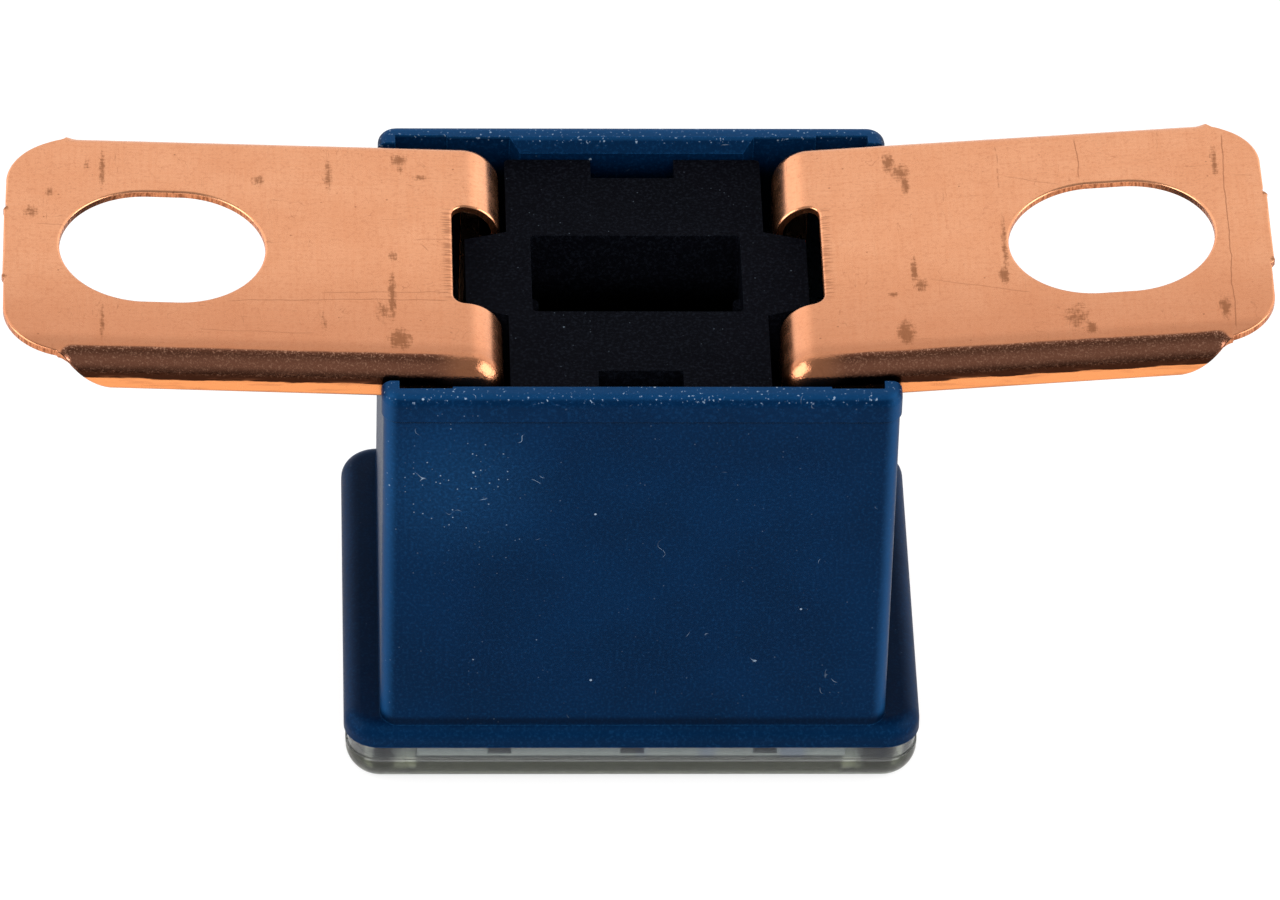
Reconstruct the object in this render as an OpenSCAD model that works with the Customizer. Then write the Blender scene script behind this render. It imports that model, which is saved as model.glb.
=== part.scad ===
// Bolt-on fusible link with bent legs: one folded copper element in a moulded housing,
// closed by a spacer block between its legs and by a clear cover over the link.
// It stands on its cover, with the terminals up. Millimetres.

/* [Terminals] */
// Thickness of the copper sheet
sheet_t = 0.3; // [0.25:0.05:0.4]
// Distance between the two stud slots
slot_pitch = 36; // [33:0.5:40]
// Width of each slot, for an M6 stud
slot_w = 6.6; // [5.2:0.1:7]
// Length of each slot, end to end
slot_l = 7.8; // [7.2:0.1:9]
// Sheet left outside a slot's outer end
tab_margin = 2.12; // [1.6:0.1:4]
// How far the flat tab's edges stay inside the lips' outer faces
tab_inset = 0.35; // [0.1:0.05:0.6]
// Radius of the tab's corners
tab_corner_r = 2.3; // [1:0.1:3]
// Clearance between a lip and the guide face beside it
lip_fit = 0.75; // [0.5:0.05:1]
// Height of the folded lips
lip_h = 1.45; // [1.1:0.05:1.8]
// Outside radius of the folds along the lips
fold_r = 1.0; // [0.7:0.05:1.05]
// Radius of the lips' free corners
lip_corner_r = 1.35; // [0.5:0.05:1.35]
// Length of the lips' free ends inside the tab's outer end
lip_setback = 2.5; // [2.3:0.1:3]
// Radius that the lips' edges follow round the shoulder
lip_edge_r = 0.05; // [0.05:0.05:0.5]
// Lift of the left terminal, from its spring after bending
lift_left = 1.85; // [0:0.05:5]
// Lift of the right terminal
lift_right = 4.6; // [0:0.05:5]
// Width of the sheared strip ties on the tab ends
tie_w = 4.2; // [2:0.1:6]
// Stub that the left tie leaves
tie_left = 0.08; // [0.05:0.01:0.3]
// Stub that the right tie leaves
tie_right = 0.15; // [0.05:0.01:0.3]

/* [Legs and link] */
// Clear space between the two legs
leg_gap = 10.5; // [9.5:0.1:11]
// Lowest part of the leg that keeps its lips, below the rim
leg_lip_l = 8.5; // [6:0.5:10]
// Height over which a leg narrows to the link
leg_taper_h = 3.2; // [2:0.1:4]
// Height of the link above the cover's skirt
link_lift = 1.0; // [0.5:0.1:2]
// Outside radius of the bend from leg to link
heel_r = 1.2; // [0.6:0.1:1.5]
// Width of the link's wide ends
link_w = 4.0; // [3:0.1:5]
// Length of each wide end
link_end_l = 1.5; // [1:0.1:2]
// Width of the necks that melt
neck_w = 1.2; // [0.8:0.1:2]
// Radius of the pad between the necks
link_pad_r = 1.7; // [1.4:0.1:1.9]
// Radius of the hole for the tin rivet
rivet_hole_r = 0.6; // [0.4:0.05:0.8]

/* [Tin chip] */
// Radius of the chip above the link
chip_r = 1.3; // [1:0.05:1.4]
// Height of the chip above the link
chip_h = 0.6; // [0.4:0.05:1]
// Radius of the clinched button under the link
button_r = 1.1; // [0.9:0.05:1.3]
// Height of the button
button_h = 0.35; // [0.3:0.05:0.5]
// Radius of the chip's and button's rounded edges
chip_edge_r = 0.15; // [0.05:0.05:0.15]
// Clearance round the rivet's stem
rivet_fit = 0.02; // [0.01:0.01:0.05]

/* [Housing] */
// Length of the tube, along the terminals
body_l = 19.4; // [19:0.1:21]
// Depth of the tube
body_w = 16.5; // [16.3:0.1:18]
// Height of the tube above the flange
body_h = 16.15; // [15:0.05:20]
// Wall of the tube
wall = 0.6; // [0.5:0.05:0.8]
// Radius of the tube's upright edges
body_corner_r = 0.65; // [0.4:0.05:1]
// Radius of the rim's outer edge
rim_r = 0.4; // [0.2:0.05:0.5]
// Height of the proud band under the rim
band_h = 1.13; // [0.6:0.01:2]
// How far the band stands out
band_out = 0.07; // [0.05:0.01:0.2]
// How far the flange stands out beyond the tube's ends
flange_end = 1.375; // [1:0.025:2.5]
// How far the flange stands out beyond the tube's long walls
flange_side = 0.3; // [0.25:0.05:1.2]
// Thickness of the flange
flange_t = 1.0; // [0.8:0.05:1.5]
// Radius of the flange's corners, in plan
flange_corner_r = 1.4; // [1:0.05:2]
// Radius of the flange's top edge
flange_edge_r = 0.65; // [0.3:0.05:0.75]
// Clearance between a lip and the post beside it
post_fit = 0.4; // [0.3:0.05:0.7]
// Clearance from a lip down to the side wall
lip_seat = 0.05; // [0.05:0.05:0.3]
// Thickness of the guide faces inside the long walls
guide_t = 0.1; // [0.05:0.05:0.2]
// How far the guide faces stay inside the tube's end walls
guide_inset = 2; // [1.6:0.1:2.5]
// Height of the guide faces
guide_h = 7.5; // [4:0.5:9]
// Thickness of the lead-in pads for the spacer
pad_t = 0.4; // [0.2:0.05:0.5]
// How far the lead-in pads stay inside the legs' inner faces
pad_inset = 0.95; // [0.7:0.05:1.3]
// Height of the pads' sloped lead
pad_lead = 0.5; // [0.3:0.05:1]
// Height of the pads
pad_h = 6; // [3:0.5:7]

/* [Cover] */
// Height of the cover's straight side, between its lower edge and its rim band
cover_side_h = 0.18; // [0.1:0.01:1]
// How far the cover's sides stay inside the flange's
cover_inset = 0.07; // [0.05:0.01:0.3]
// Radius of the cover's corners, in plan
cover_corner_r = 1.35; // [1.3:0.05:2]
// Radius of the cover's lower edge
cover_edge_r = 1.25; // [0.6:0.05:1.25]
// Height of the cover's rim band
cover_band_h = 0.67; // [0.3:0.01:0.8]
// How far the rim band is set back
cover_band_in = 0.06; // [0.03:0.01:0.15]
// Thickness of the window
window_t = 0.8; // [0.6:0.05:1.2]
// Height of the skirt that enters the tube
skirt_h = 1.5; // [1:0.1:3]
// Wall of the skirt
skirt_t = 0.8; // [0.6:0.05:1.2]
// Clearance between the skirt and the tube
skirt_fit = 0.05; // [0.03:0.01:0.1]
// Distance between the locating tabs under the flange
tab_pitch = 5.1; // [4:0.1:6]
// Length of a locating tab
tab_l = 0.8; // [0.5:0.1:1.5]
// Thickness of a locating tab
tab_t = 0.4; // [0.3:0.05:0.5]
// Height of a locating tab
tab_h = 0.4; // [0.2:0.05:0.5]
// Clearance of the tabs in the cover's pockets
tab_fit = 0.06; // [0.03:0.01:0.1]

/* [Spacer block] */
// Depth of the block's top face below the rim
spacer_drop = 0.65; // [0.4:0.05:2]
// Height of the block
spacer_h = 7; // [6:0.5:8]
// Clearance between the block and each leg
spacer_fit_x = 0.34; // [0.2:0.01:0.5]
// Clearance between the block and each lead-in pad
spacer_fit_y = 0.22; // [0.05:0.01:0.3]
// Reach of the wings beyond the block
wing_l = 1.6; // [1:0.1:2]
// Width of the wings at their roots
wing_root_w = 5; // [4:0.1:5.4]
// Width of the wings at their tips
wing_tip_w = 4.1; // [3:0.1:4.5]
// Height of the wings
wing_h = 4; // [3:0.5:5]
// Clearance beside the wings in the legs' openings
wing_side_gap = 0.4; // [0.2:0.05:0.6]
// Clearance beyond the wing tips in the terminals' openings
wing_end_gap = 0.5; // [0.3:0.05:0.8]
// Radius of the corners of those openings
opening_r = 0.5; // [0.3:0.05:0.8]
// Length of the keyways in the block's long sides
keyway_l = 3.2; // [2:0.1:4]
// Depth of the keyways
keyway_d = 1.12; // [0.5:0.01:1.5]
// Wall of the block beyond the pocket's ends
pocket_end = 0.91; // [0.8:0.01:1.8]
// Width of the pocket
pocket_w = 4.58; // [4.5:0.01:5.5]
// Depth of the pocket
pocket_d = 5.5; // [4.5:0.1:5.8]
// Radius of the block's and pocket's upright edges
block_edge_r = 0.2; // [0.1:0.05:0.4]
// Radius of the two half-round ribs inside the pocket
pocket_rib_r = 0.3; // [0.15:0.05:0.4]
// Depth of the ribs' tops below the block's top
pocket_rib_drop = 1.5; // [0.5:0.1:3]

/* [Hidden] */
$fn = 64;
eps = 0.01;
clear_cut = 5;
weld = 0.00000005;
cosine_steps = 1000000;

// Heights above the cover's outer face
cover_h = cover_edge_r + cover_side_h + cover_band_h;
flange_z = cover_h;
tube_z = flange_z + flange_t;
rim_z = tube_z + body_h;
terminal_z = rim_z + sheet_t;
side_wall_z = terminal_z - lip_h - lip_seat;
spacer_top_z = rim_z - spacer_drop;
spacer_z = spacer_top_z - spacer_h;
opening_z = spacer_top_z - wing_h - wing_side_gap;
link_z = cover_h + skirt_h + link_lift;
leg_lip_z = rim_z - leg_lip_l;

// Insides and plan sizes
bore_l = body_l - 2 * wall;
bore_w = body_w - 2 * wall;
flange_l = body_l + 2 * flange_end;
flange_w = body_w + 2 * flange_side;
guide_l = bore_l - 2 * guide_inset;
skirt_l = bore_l - 2 * skirt_fit;
skirt_w = bore_w - 2 * skirt_fit;
guide_y = bore_w / 2 - guide_t;
pad_y = guide_y - pad_t;
pad_l = leg_gap - 2 * pad_inset;
channel_w = 2 * (guide_y - lip_fit);
channel_flat_w = channel_w - 2 * fold_r;
side_cut_w = channel_w + 2 * post_fit;
tab_w = channel_w - 2 * tab_inset;
cover_l = flange_l - 2 * cover_inset;
cover_w = flange_w - 2 * cover_inset;
tab_y = (bore_w / 2 + cover_w / 2 - cover_band_in) / 2;
spacer_l = leg_gap - 2 * spacer_fit_x;
spacer_w = 2 * (pad_y - spacer_fit_y);
pocket_l = spacer_l - 2 * pocket_end;
wing_x = spacer_l / 2 + wing_l;
opening_w = wing_root_w + 2 * wing_side_gap;
opening_x = wing_x + wing_end_gap;

// Bends of the element
shoulder_r = lip_h + lip_edge_r;
shoulder_x = leg_gap / 2 + shoulder_r;
shoulder_z = terminal_z - shoulder_r;
heel_x = leg_gap / 2 + sheet_t - heel_r;
heel_z = link_z + heel_r;
tab_end_x = slot_pitch / 2 + slot_l / 2 + tab_margin;

// Lift whose cosine has six decimals, so that a bend and its terminal meet in one true plane
function true_lift(lift) = acos(round(cos(lift) * cosine_steps) / cosine_steps);

// Rectangle with four round corners
module round_rect(l, w, r) {
  square([l - 2 * r, w], center = true);
  square([l, w - 2 * r], center = true);
  for (i = [-1, 1], j = [-1, 1])
    translate([i * (l / 2 - r), j * (w / 2 - r)]) circle(r);
}

// Rectangle hanging from the X axis, with its two upper corners round
module crown(w, h, r) {
  translate([-w / 2, -h]) square([w, h - r]);
  translate([-w / 2 + r, -h]) square([w - 2 * r, h]);
  intersection() {
    translate([-w / 2, -min(h, 2 * r)]) square([w, min(h, 2 * r)]);
    for (i = [-1, 1])
      translate([i * (w / 2 - r), -r]) circle(r);
  }
}

// Slab with round upright corners and a round upper edge, its underside at z = 0
module crowned_slab(l, w, h, corner_r, edge_r) {
  translate([-(l - 2 * corner_r) / 2, 0, h])
    rotate([90, 0, 90]) linear_extrude(l - 2 * corner_r) crown(w, h, edge_r);
  translate([0, (w - 2 * corner_r) / 2, h])
    rotate([90, 0, 0]) linear_extrude(w - 2 * corner_r) crown(l, h, edge_r);
  for (i = [-1, 1], j = [-1, 1])
    translate([i * (l / 2 - corner_r), j * (w / 2 - corner_r), h])
      rotate_extrude() intersection() {
        crown(2 * corner_r, h, edge_r);
        translate([0, -h]) square([corner_r, h]);
      }
}

// Section of the folded sheet: its outer face lies on the X axis and its lips hang down
module channel_section() {
  difference() {
    crown(channel_w, lip_h, fold_r);
    translate([0, -sheet_t])
      crown(channel_w - 2 * sheet_t, lip_h, fold_r - sheet_t);
  }
}

// Waste outside the lips' round free corner at x = 0, cut across the channel
module lip_corner_waste() {
  translate([0, channel_w, 0]) rotate([90, 0, 0]) linear_extrude(2 * channel_w)
    difference() {
      translate([-lip_corner_r, -lip_h - eps]) square([lip_corner_r + eps, lip_corner_r + eps]);
      translate([-lip_corner_r, lip_corner_r - lip_h]) circle(lip_corner_r);
    }
}

// Flat tab beyond the lips, from x = 0 to x = l, with its sheared tie
module tab_plan(l, tie) {
  difference() {
    translate([l - tab_w / 2, 0]) round_rect(tab_w, tab_w, tab_corner_r);
    translate([-tab_w, -tab_w]) square([tab_w, 2 * tab_w]);
  }
  translate([-tab_w / 2, -channel_flat_w / 2]) square([tab_w / 2 + eps, channel_flat_w]);
  translate([0, -tie_w / 2]) square([l + tie, tie_w]);
}

// One terminal from the shoulder outwards, level, with its outer face at z = 0
module terminal(reach, tie) {
  lip_l = reach - lip_setback;
  difference() {
    rotate([90, 0, 90]) linear_extrude(lip_l) channel_section();
    translate([lip_l, 0, 0]) lip_corner_waste();
  }
  translate([lip_l, 0, -sheet_t]) linear_extrude(sheet_t)
    tab_plan(lip_setback, tie);
}

// Outline of a leg's flat, in depth and height, up to halfway between its lips
module leg_outline() {
  flat_z = (leg_lip_z + shoulder_z) / 2;
  polygon([
    [-channel_flat_w / 2, leg_lip_z], [-link_w / 2, leg_lip_z - leg_taper_h],
    [-link_w / 2, heel_z - weld], [link_w / 2, heel_z - weld],
    [link_w / 2, leg_lip_z - leg_taper_h], [channel_flat_w / 2, leg_lip_z],
    [channel_flat_w / 2, flat_z], [-channel_flat_w / 2, flat_z]
  ]);
}

// Opening through the shoulder and the leg, which the spacer's wing stands in
module wing_opening() {
  depth = opening_x - leg_gap / 2 + clear_cut;
  translate([opening_x - depth / 2, 0, shoulder_z - opening_r])
    linear_extrude(shoulder_r + opening_r + clear_cut) round_rect(depth, opening_w, opening_r);
  translate([leg_gap / 2 - clear_cut / 2, 0, (opening_z + shoulder_z) / 2])
    rotate([90, 0, 90]) linear_extrude(clear_cut)
      round_rect(opening_w, shoulder_z - opening_z, opening_r);
}

// Stud slot, cut straight down
module stud_slot() {
  translate([slot_pitch / 2, 0, terminal_z - clear_cut]) linear_extrude(3 * clear_cut) {
    square([slot_l - slot_w, slot_w], center = true);
    for (i = [-1, 1])
      translate([i * (slot_l - slot_w) / 2, 0]) circle(slot_w / 2);
  }
}

// Bend from the leg to the terminal, ended by the plane that the terminal starts in
module shoulder_bend(lift) {
  translate([shoulder_x, 0, shoulder_z]) difference() {
    rotate([90, 0, 0]) rotate([0, 0, 90]) rotate_extrude(angle = 90)
      translate([shoulder_r, 0]) rotate(-90) channel_section();
    rotate([0, -lift, 0]) translate([weld, -channel_w, 0])
      cube([clear_cut, 2 * channel_w, clear_cut]);
  }
}

// One leg with its shoulder and terminal, on the +X side
module element_half(lift, tie) {
  reach = (tab_end_x - shoulder_x - shoulder_r * sin(lift)) / cos(lift) + shoulder_r * tan(lift);
  difference() {
    union() {
      translate([shoulder_x, 0, shoulder_z]) rotate([0, -lift, 0])
        translate([0, 0, shoulder_r]) terminal(reach, tie);
      shoulder_bend(lift);
      difference() {
        translate([leg_gap / 2, 0, leg_lip_z])
          linear_extrude(shoulder_z - leg_lip_z + weld) rotate(90) channel_section();
        translate([leg_gap / 2, 0, leg_lip_z]) rotate([0, 90, 0]) lip_corner_waste();
      }
      translate([leg_gap / 2, 0, 0]) rotate([90, 0, 90]) linear_extrude(sheet_t) leg_outline();
      translate([heel_x, 0, heel_z]) rotate([90, 0, 0])
        rotate([0, 0, -90]) rotate_extrude(angle = 90)
          translate([heel_r - sheet_t, -link_w / 2]) square([sheet_t, link_w]);
    }
    wing_opening();
    stud_slot();
  }
}

// The strip between the heels that melts
module link_plan() {
  difference() {
    union() {
      for (i = [-1, 1])
        translate([i * (heel_x + weld - link_end_l / 2), 0])
          square([link_end_l, link_w], center = true);
      square([2 * heel_x, neck_w], center = true);
      circle(link_pad_r);
    }
    circle(rivet_hole_r);
  }
}

module fuse_element() {
  color("#e8a67c") {
    element_half(true_lift(lift_right), tie_right);
    mirror([1, 0, 0]) element_half(true_lift(lift_left), tie_left);
    translate([0, 0, link_z]) linear_extrude(sheet_t) link_plan();
  }
}

// Round boss with its far edge rounded, standing on z = 0
module button(r, h) {
  rotate_extrude() {
    square([r, h - chip_edge_r]);
    square([r - chip_edge_r, h]);
    translate([r - chip_edge_r, h - chip_edge_r]) circle(chip_edge_r);
  }
}

module tin_chip() {
  color("#b9bcc0") {
    translate([0, 0, link_z + sheet_t]) button(chip_r, chip_h);
    translate([0, 0, link_z]) mirror([0, 0, 1]) button(button_r, button_h);
    translate([0, 0, link_z]) cylinder(r = rivet_hole_r - rivet_fit, h = sheet_t);
  }
}

// Lead-in pad on the far long wall: sloped at its top and at both ends
module lead_pad() {
  root_y = bore_w / 2 + eps;
  intersection() {
    translate([-pad_l, 0, 0]) rotate([90, 0, 90]) linear_extrude(2 * pad_l)
      polygon([
        [root_y, rim_z - pad_h], [root_y, rim_z], [guide_y, rim_z],
        [pad_y, rim_z - pad_lead], [pad_y, rim_z - pad_h]
      ]);
    linear_extrude(rim_z)
      polygon([
        [-pad_l / 2, pad_y], [pad_l / 2, pad_y],
        [pad_l / 2 + pad_t, guide_y], [pad_l / 2 + pad_t, root_y],
        [-pad_l / 2 - pad_t, root_y], [-pad_l / 2 - pad_t, guide_y]
      ]);
  }
}

// Guide face and lead-in pad of one long wall
module wall_guides() {
  translate([-guide_l / 2, guide_y, rim_z - guide_h])
    cube([guide_l, guide_t + eps, guide_h]);
  lead_pad();
}

// The tabs under the flange, or with a clearance the pockets that take them
module locating_tabs(gap) {
  for (i = [-1:1], j = [-1, 1])
    translate([i * tab_pitch, j * tab_y, flange_z - tab_h - gap])
      translate([-tab_l / 2 - gap, -tab_t / 2 - gap, 0])
        cube([tab_l + 2 * gap, tab_t + 2 * gap, tab_h + gap + flange_t / 2]);
}

module housing() {
  color("#123a63") {
    difference() {
      union() {
        translate([0, 0, flange_z])
          crowned_slab(flange_l, flange_w, flange_t, flange_corner_r, flange_edge_r);
        translate([0, 0, flange_z])
          linear_extrude(rim_z - rim_r - flange_z) round_rect(body_l, body_w, body_corner_r);
        translate([0, 0, rim_z - band_h])
          crowned_slab(body_l + 2 * band_out, body_w + 2 * band_out, band_h,
            body_corner_r + band_out, rim_r);
      }
      translate([-bore_l / 2, -bore_w / 2, flange_z - eps])
        cube([bore_l, bore_w, rim_z - flange_z + 2 * eps]);
      translate([-body_l, -side_cut_w / 2, side_wall_z])
        cube([2 * body_l, side_cut_w, rim_z]);
    }
    wall_guides();
    mirror([0, 1, 0]) wall_guides();
    locating_tabs(0);
  }
}

module window_cover() {
  pane_h = cover_h - cover_band_h;
  color("#c9d2d4", 0.5) difference() {
    union() {
      translate([0, 0, pane_h]) mirror([0, 0, 1])
        crowned_slab(cover_l, cover_w, pane_h, cover_corner_r, cover_edge_r);
      translate([0, 0, cover_edge_r]) linear_extrude(cover_side_h + cover_band_h)
        round_rect(cover_l - 2 * cover_band_in, cover_w - 2 * cover_band_in,
          cover_corner_r - cover_band_in);
      translate([-skirt_l / 2, -skirt_w / 2, cover_edge_r])
        cube([skirt_l, skirt_w, cover_h - cover_edge_r + skirt_h]);
    }
    translate([-skirt_l / 2 + skirt_t, -skirt_w / 2 + skirt_t, window_t])
      cube([skirt_l - 2 * skirt_t, skirt_w - 2 * skirt_t, cover_h + skirt_h]);
    locating_tabs(tab_fit);
  }
}

// Plan of the spacer's wings, tapered towards their tips
module wings_plan() {
  polygon([
    [-wing_x, -wing_tip_w / 2], [-spacer_l / 2, -wing_root_w / 2],
    [spacer_l / 2, -wing_root_w / 2], [wing_x, -wing_tip_w / 2],
    [wing_x, wing_tip_w / 2], [spacer_l / 2, wing_root_w / 2],
    [-spacer_l / 2, wing_root_w / 2], [-wing_x, wing_tip_w / 2]
  ]);
}

module spacer_block() {
  color("#16181c") {
    difference() {
      union() {
        translate([0, 0, spacer_z]) linear_extrude(spacer_h)
          round_rect(spacer_l, spacer_w, block_edge_r);
        translate([0, 0, spacer_top_z - wing_h]) linear_extrude(wing_h) wings_plan();
      }
      for (j = [-1, 1])
        translate([0, j * spacer_w / 2, spacer_z + spacer_h / 2])
          cube([keyway_l, 2 * keyway_d, spacer_h + 2 * eps], center = true);
      translate([0, 0, spacer_top_z - pocket_d]) linear_extrude(pocket_d + eps)
        round_rect(pocket_l, pocket_w, block_edge_r);
    }
    for (i = [-1, 1])
      intersection() {
        translate([i * pocket_l / 2, 0, spacer_top_z - pocket_d - eps])
          cylinder(r = pocket_rib_r, h = pocket_d - pocket_rib_drop + eps);
        translate([-spacer_l / 2, -pocket_w / 2, spacer_z])
          cube([spacer_l, pocket_w, spacer_h]);
      }
  }
}

housing();
window_cover();
fuse_element();
tin_chip();
spacer_block();
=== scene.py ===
"""Looks of the bolt-on fusible link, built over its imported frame.

Sizes in the classes are millimetres in the frame of the part: origin at the middle of the cover's
outer face, +X along the terminals, +Y away from the viewer, +Z up. Meshes are written in metres.
"""

import logging
import math
from dataclasses import dataclass
from enum import Enum
from typing import Callable

import bpy
import numpy as np
from mathutils import Matrix, Vector
from mathutils.geometry import delaunay_2d_cdt


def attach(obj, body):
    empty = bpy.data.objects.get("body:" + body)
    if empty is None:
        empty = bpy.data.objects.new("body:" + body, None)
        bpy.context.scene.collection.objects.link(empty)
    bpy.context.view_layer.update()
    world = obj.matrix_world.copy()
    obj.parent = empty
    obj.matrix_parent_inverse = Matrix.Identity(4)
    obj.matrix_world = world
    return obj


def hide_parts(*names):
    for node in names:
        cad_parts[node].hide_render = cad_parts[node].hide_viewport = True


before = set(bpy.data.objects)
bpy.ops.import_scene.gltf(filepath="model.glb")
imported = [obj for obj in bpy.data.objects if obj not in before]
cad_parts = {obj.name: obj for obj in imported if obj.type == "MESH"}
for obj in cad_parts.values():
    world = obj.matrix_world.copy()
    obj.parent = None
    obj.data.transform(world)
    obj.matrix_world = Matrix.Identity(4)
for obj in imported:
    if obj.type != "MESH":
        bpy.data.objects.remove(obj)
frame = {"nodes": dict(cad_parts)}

MM = 0.001  # metres in a millimetre
BODY = "root"
RIGHT_ANGLE = math.pi / 2
FOLD = "fold"  # point attribute: how far the sheet is turned, where 1 is a right angle
DROP = "drop"  # point attribute: depth below the plane of the top face, in millimetres
PRINCIPLED = "BsdfPrincipled"
FOLD_STEPS = 8  # flats that make up a fold
CUT_ROW = 4  # first row of the rim that is sheared rather than rolled
MITRE = 0.6  # least cosine that a mitred corner is stretched by
NEAR = 1e-6  # places on the blank that are closer than this are one, in millimetres
STEP = 1e-4  # step of the slopes that the normals come from, in millimetres
TINY = 1e-12  # least length that a vector is divided by
log = logging.getLogger("fusible_link")

Colour = tuple[float, float, float]
Point = tuple[float, float]
Place = tuple[float, float, float]
Socket = bpy.types.NodeSocket
Value = float | Socket
WHITE: Colour = (1.0, 1.0, 1.0)
UNLIT: Colour = (0.0, 0.0, 0.0)


class Side(Enum):
    """The two halves of the copper element, by the sign of X."""

    LEFT = -1
    RIGHT = 1


class Face(Enum):
    """The material slots of the copper mesh."""

    SHEET = 0
    CUT = 1


def srgb(red: int, green: int, blue: int) -> Colour:
    """Turns a colour of three 0 to 255 values into linear light.

    Args:
        red: Red value.
        green: Green value.
        blue: Blue value.

    Returns:
        The linear colour.
    """
    values = [c / 255 for c in (red, green, blue)]
    return tuple(v / 12.92 if v <= 0.04045 else ((v + 0.055) / 1.055) ** 2.4 for v in values)


class Graph:
    """A node tree with short calls that add and join its nodes."""

    def __init__(self, tree: bpy.types.NodeTree) -> None:
        """Empties the tree.

        Args:
            tree: The node tree to fill.
        """
        self.tree = tree
        tree.nodes.clear()

    def feed(self, socket: Socket, value: object) -> None:
        """Joins a socket to an output, or sets its own value.

        Args:
            socket: The input to feed.
            value: An output socket, a number, a sequence, or None to leave it as it is.
        """
        if isinstance(value, bpy.types.NodeSocket):
            self.tree.links.new(value, socket)
        elif value is not None:
            if socket.type == "RGBA" and len(value) == 3:
                value = (*value, 1.0)
            socket.default_value = value

    def node(self, kind: str, *values: object, **named: object) -> bpy.types.Node:
        """Adds a node.

        Args:
            kind: The node's type name, after "ShaderNode".
            values: What its first inputs get.
            named: Its settings, in lower case, and what its other inputs get, with a capital
                and with _ for a space.

        Returns:
            The new node.
        """
        made = self.tree.nodes.new("ShaderNode" + kind)
        for name, value in named.items():
            if name.islower():
                setattr(made, name, value)
            else:
                self.feed(made.inputs[name.replace("_", " ")], value)
        for socket, value in zip(made.inputs, values):
            self.feed(socket, value)
        return made

    def maths(self, operation: str, *values: Value) -> Socket:
        """Returns what a Math node makes of one to three numbers."""
        return self.node("Math", *values, operation=operation).outputs[0]

    def size(self, value: Value) -> Socket:
        """Returns a number without its sign."""
        return self.maths("ABSOLUTE", value)

    def plus(self, a: Value, b: Value) -> Socket:
        """Returns a + b."""
        return self.maths("ADD", a, b)

    def minus(self, a: Value, b: Value) -> Socket:
        """Returns a - b."""
        return self.maths("SUBTRACT", a, b)

    def times(self, a: Value, b: Value) -> Socket:
        """Returns a * b."""
        return self.maths("MULTIPLY", a, b)

    def scaled(self, a: Value, b: Value, c: Value) -> Socket:
        """Returns a * b + c."""
        return self.maths("MULTIPLY_ADD", a, b, c)

    def larger(self, a: Value, b: Value) -> Socket:
        """Returns the larger of two numbers."""
        return self.maths("MAXIMUM", a, b)

    def vector(self, operation: str, *values: object) -> Socket:
        """Returns the vector that a Vector Math node makes of its inputs."""
        return self.node("VectorMath", *values, operation=operation).outputs["Vector"]

    def measure(self, operation: str, *values: object) -> Socket:
        """Returns the number that a Vector Math node makes of its inputs."""
        return self.node("VectorMath", *values, operation=operation).outputs["Value"]

    def stretched(self, where: Socket, factors: Place) -> Socket:
        """Returns a place with each of its parts scaled."""
        return self.vector("MULTIPLY", where, factors)

    def split(self, vector: Socket) -> tuple[Socket, ...]:
        """Returns the three parts of a vector."""
        return tuple(self.node("SeparateXYZ", vector).outputs)

    def place(self) -> Socket:
        """Returns the place on the surface, in millimetres."""
        return self.stretched(self.node("TexCoord").outputs["Object"], (1 / MM, 1 / MM, 1 / MM))

    def attribute(self, name: str) -> Socket:
        """Returns a number that the mesh carries at each point."""
        made = self.node("Attribute", attribute_type="GEOMETRY", attribute_name=name)
        return made.outputs["Fac"]

    def noise(self, where: Socket, scale: float, detail: float = 2.0,
              rough: float = 0.5) -> Socket:
        """Returns a noise from 0 to 1, by its features per millimetre, octaves and roughness."""
        return self.node("TexNoise", Vector=where, Scale=scale, Detail=detail,
                         Roughness=rough).outputs["Fac"]

    def wavered(self, where: Socket, scale: float, reach: float) -> Socket:
        """Moves places about by a noise.

        Args:
            where: Place, in millimetres.
            scale: Features per millimetre.
            reach: How far the places move.

        Returns:
            The moved places.
        """
        made = self.node("TexNoise", Vector=where, Scale=scale)
        off = self.vector("SUBTRACT", made.outputs["Color"], (0.5, 0.5, 0.5))
        return self.vector("ADD", where, self.stretched(off, (reach, reach, reach)))

    def cells(self, where: Socket, scale: float) -> tuple[Socket, Socket]:
        """Scatters cells.

        Args:
            where: Place, in millimetres.
            scale: Cells per millimetre.

        Returns:
            The distance to the cell's point, and a number that is its cell's own.
        """
        made = self.node("TexVoronoi", Vector=where, Scale=scale)
        own, _, _ = self.split(made.outputs["Color"])
        return made.outputs["Distance"], own

    def ramp(self, value: Value, low: float, high: float, start: float = 0.0,
             end: float = 1.0) -> Socket:
        """Maps a range to another one smoothly.

        Args:
            value: The number.
            low: Where the range starts. It may be above high.
            high: Where the range ends.
            start: Result at low.
            end: Result at high.

        Returns:
            The mapped number.
        """
        if low > high:
            low, high, start, end = high, low, end, start
        made = self.node("MapRange", value, low, high, start, end,
                         interpolation_type="SMOOTHSTEP")
        return made.outputs["Result"]

    def around(self, value: Value, low: float, high: float, start: float = 0.0,
               end: float = 1.0, middle: float = 0.0) -> Socket:
        """Ramps by how far a number is from a middle one, on both sides of it.

        Args:
            value: The number.
            low: Where the range starts, from the middle. It may be above high.
            high: Where the range ends.
            start: Result at low.
            end: Result at high.
            middle: The middle number.

        Returns:
            The mapped number.
        """
        off = self.minus(value, middle) if middle else value
        return self.ramp(self.size(off), low, high, start, end)

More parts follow.
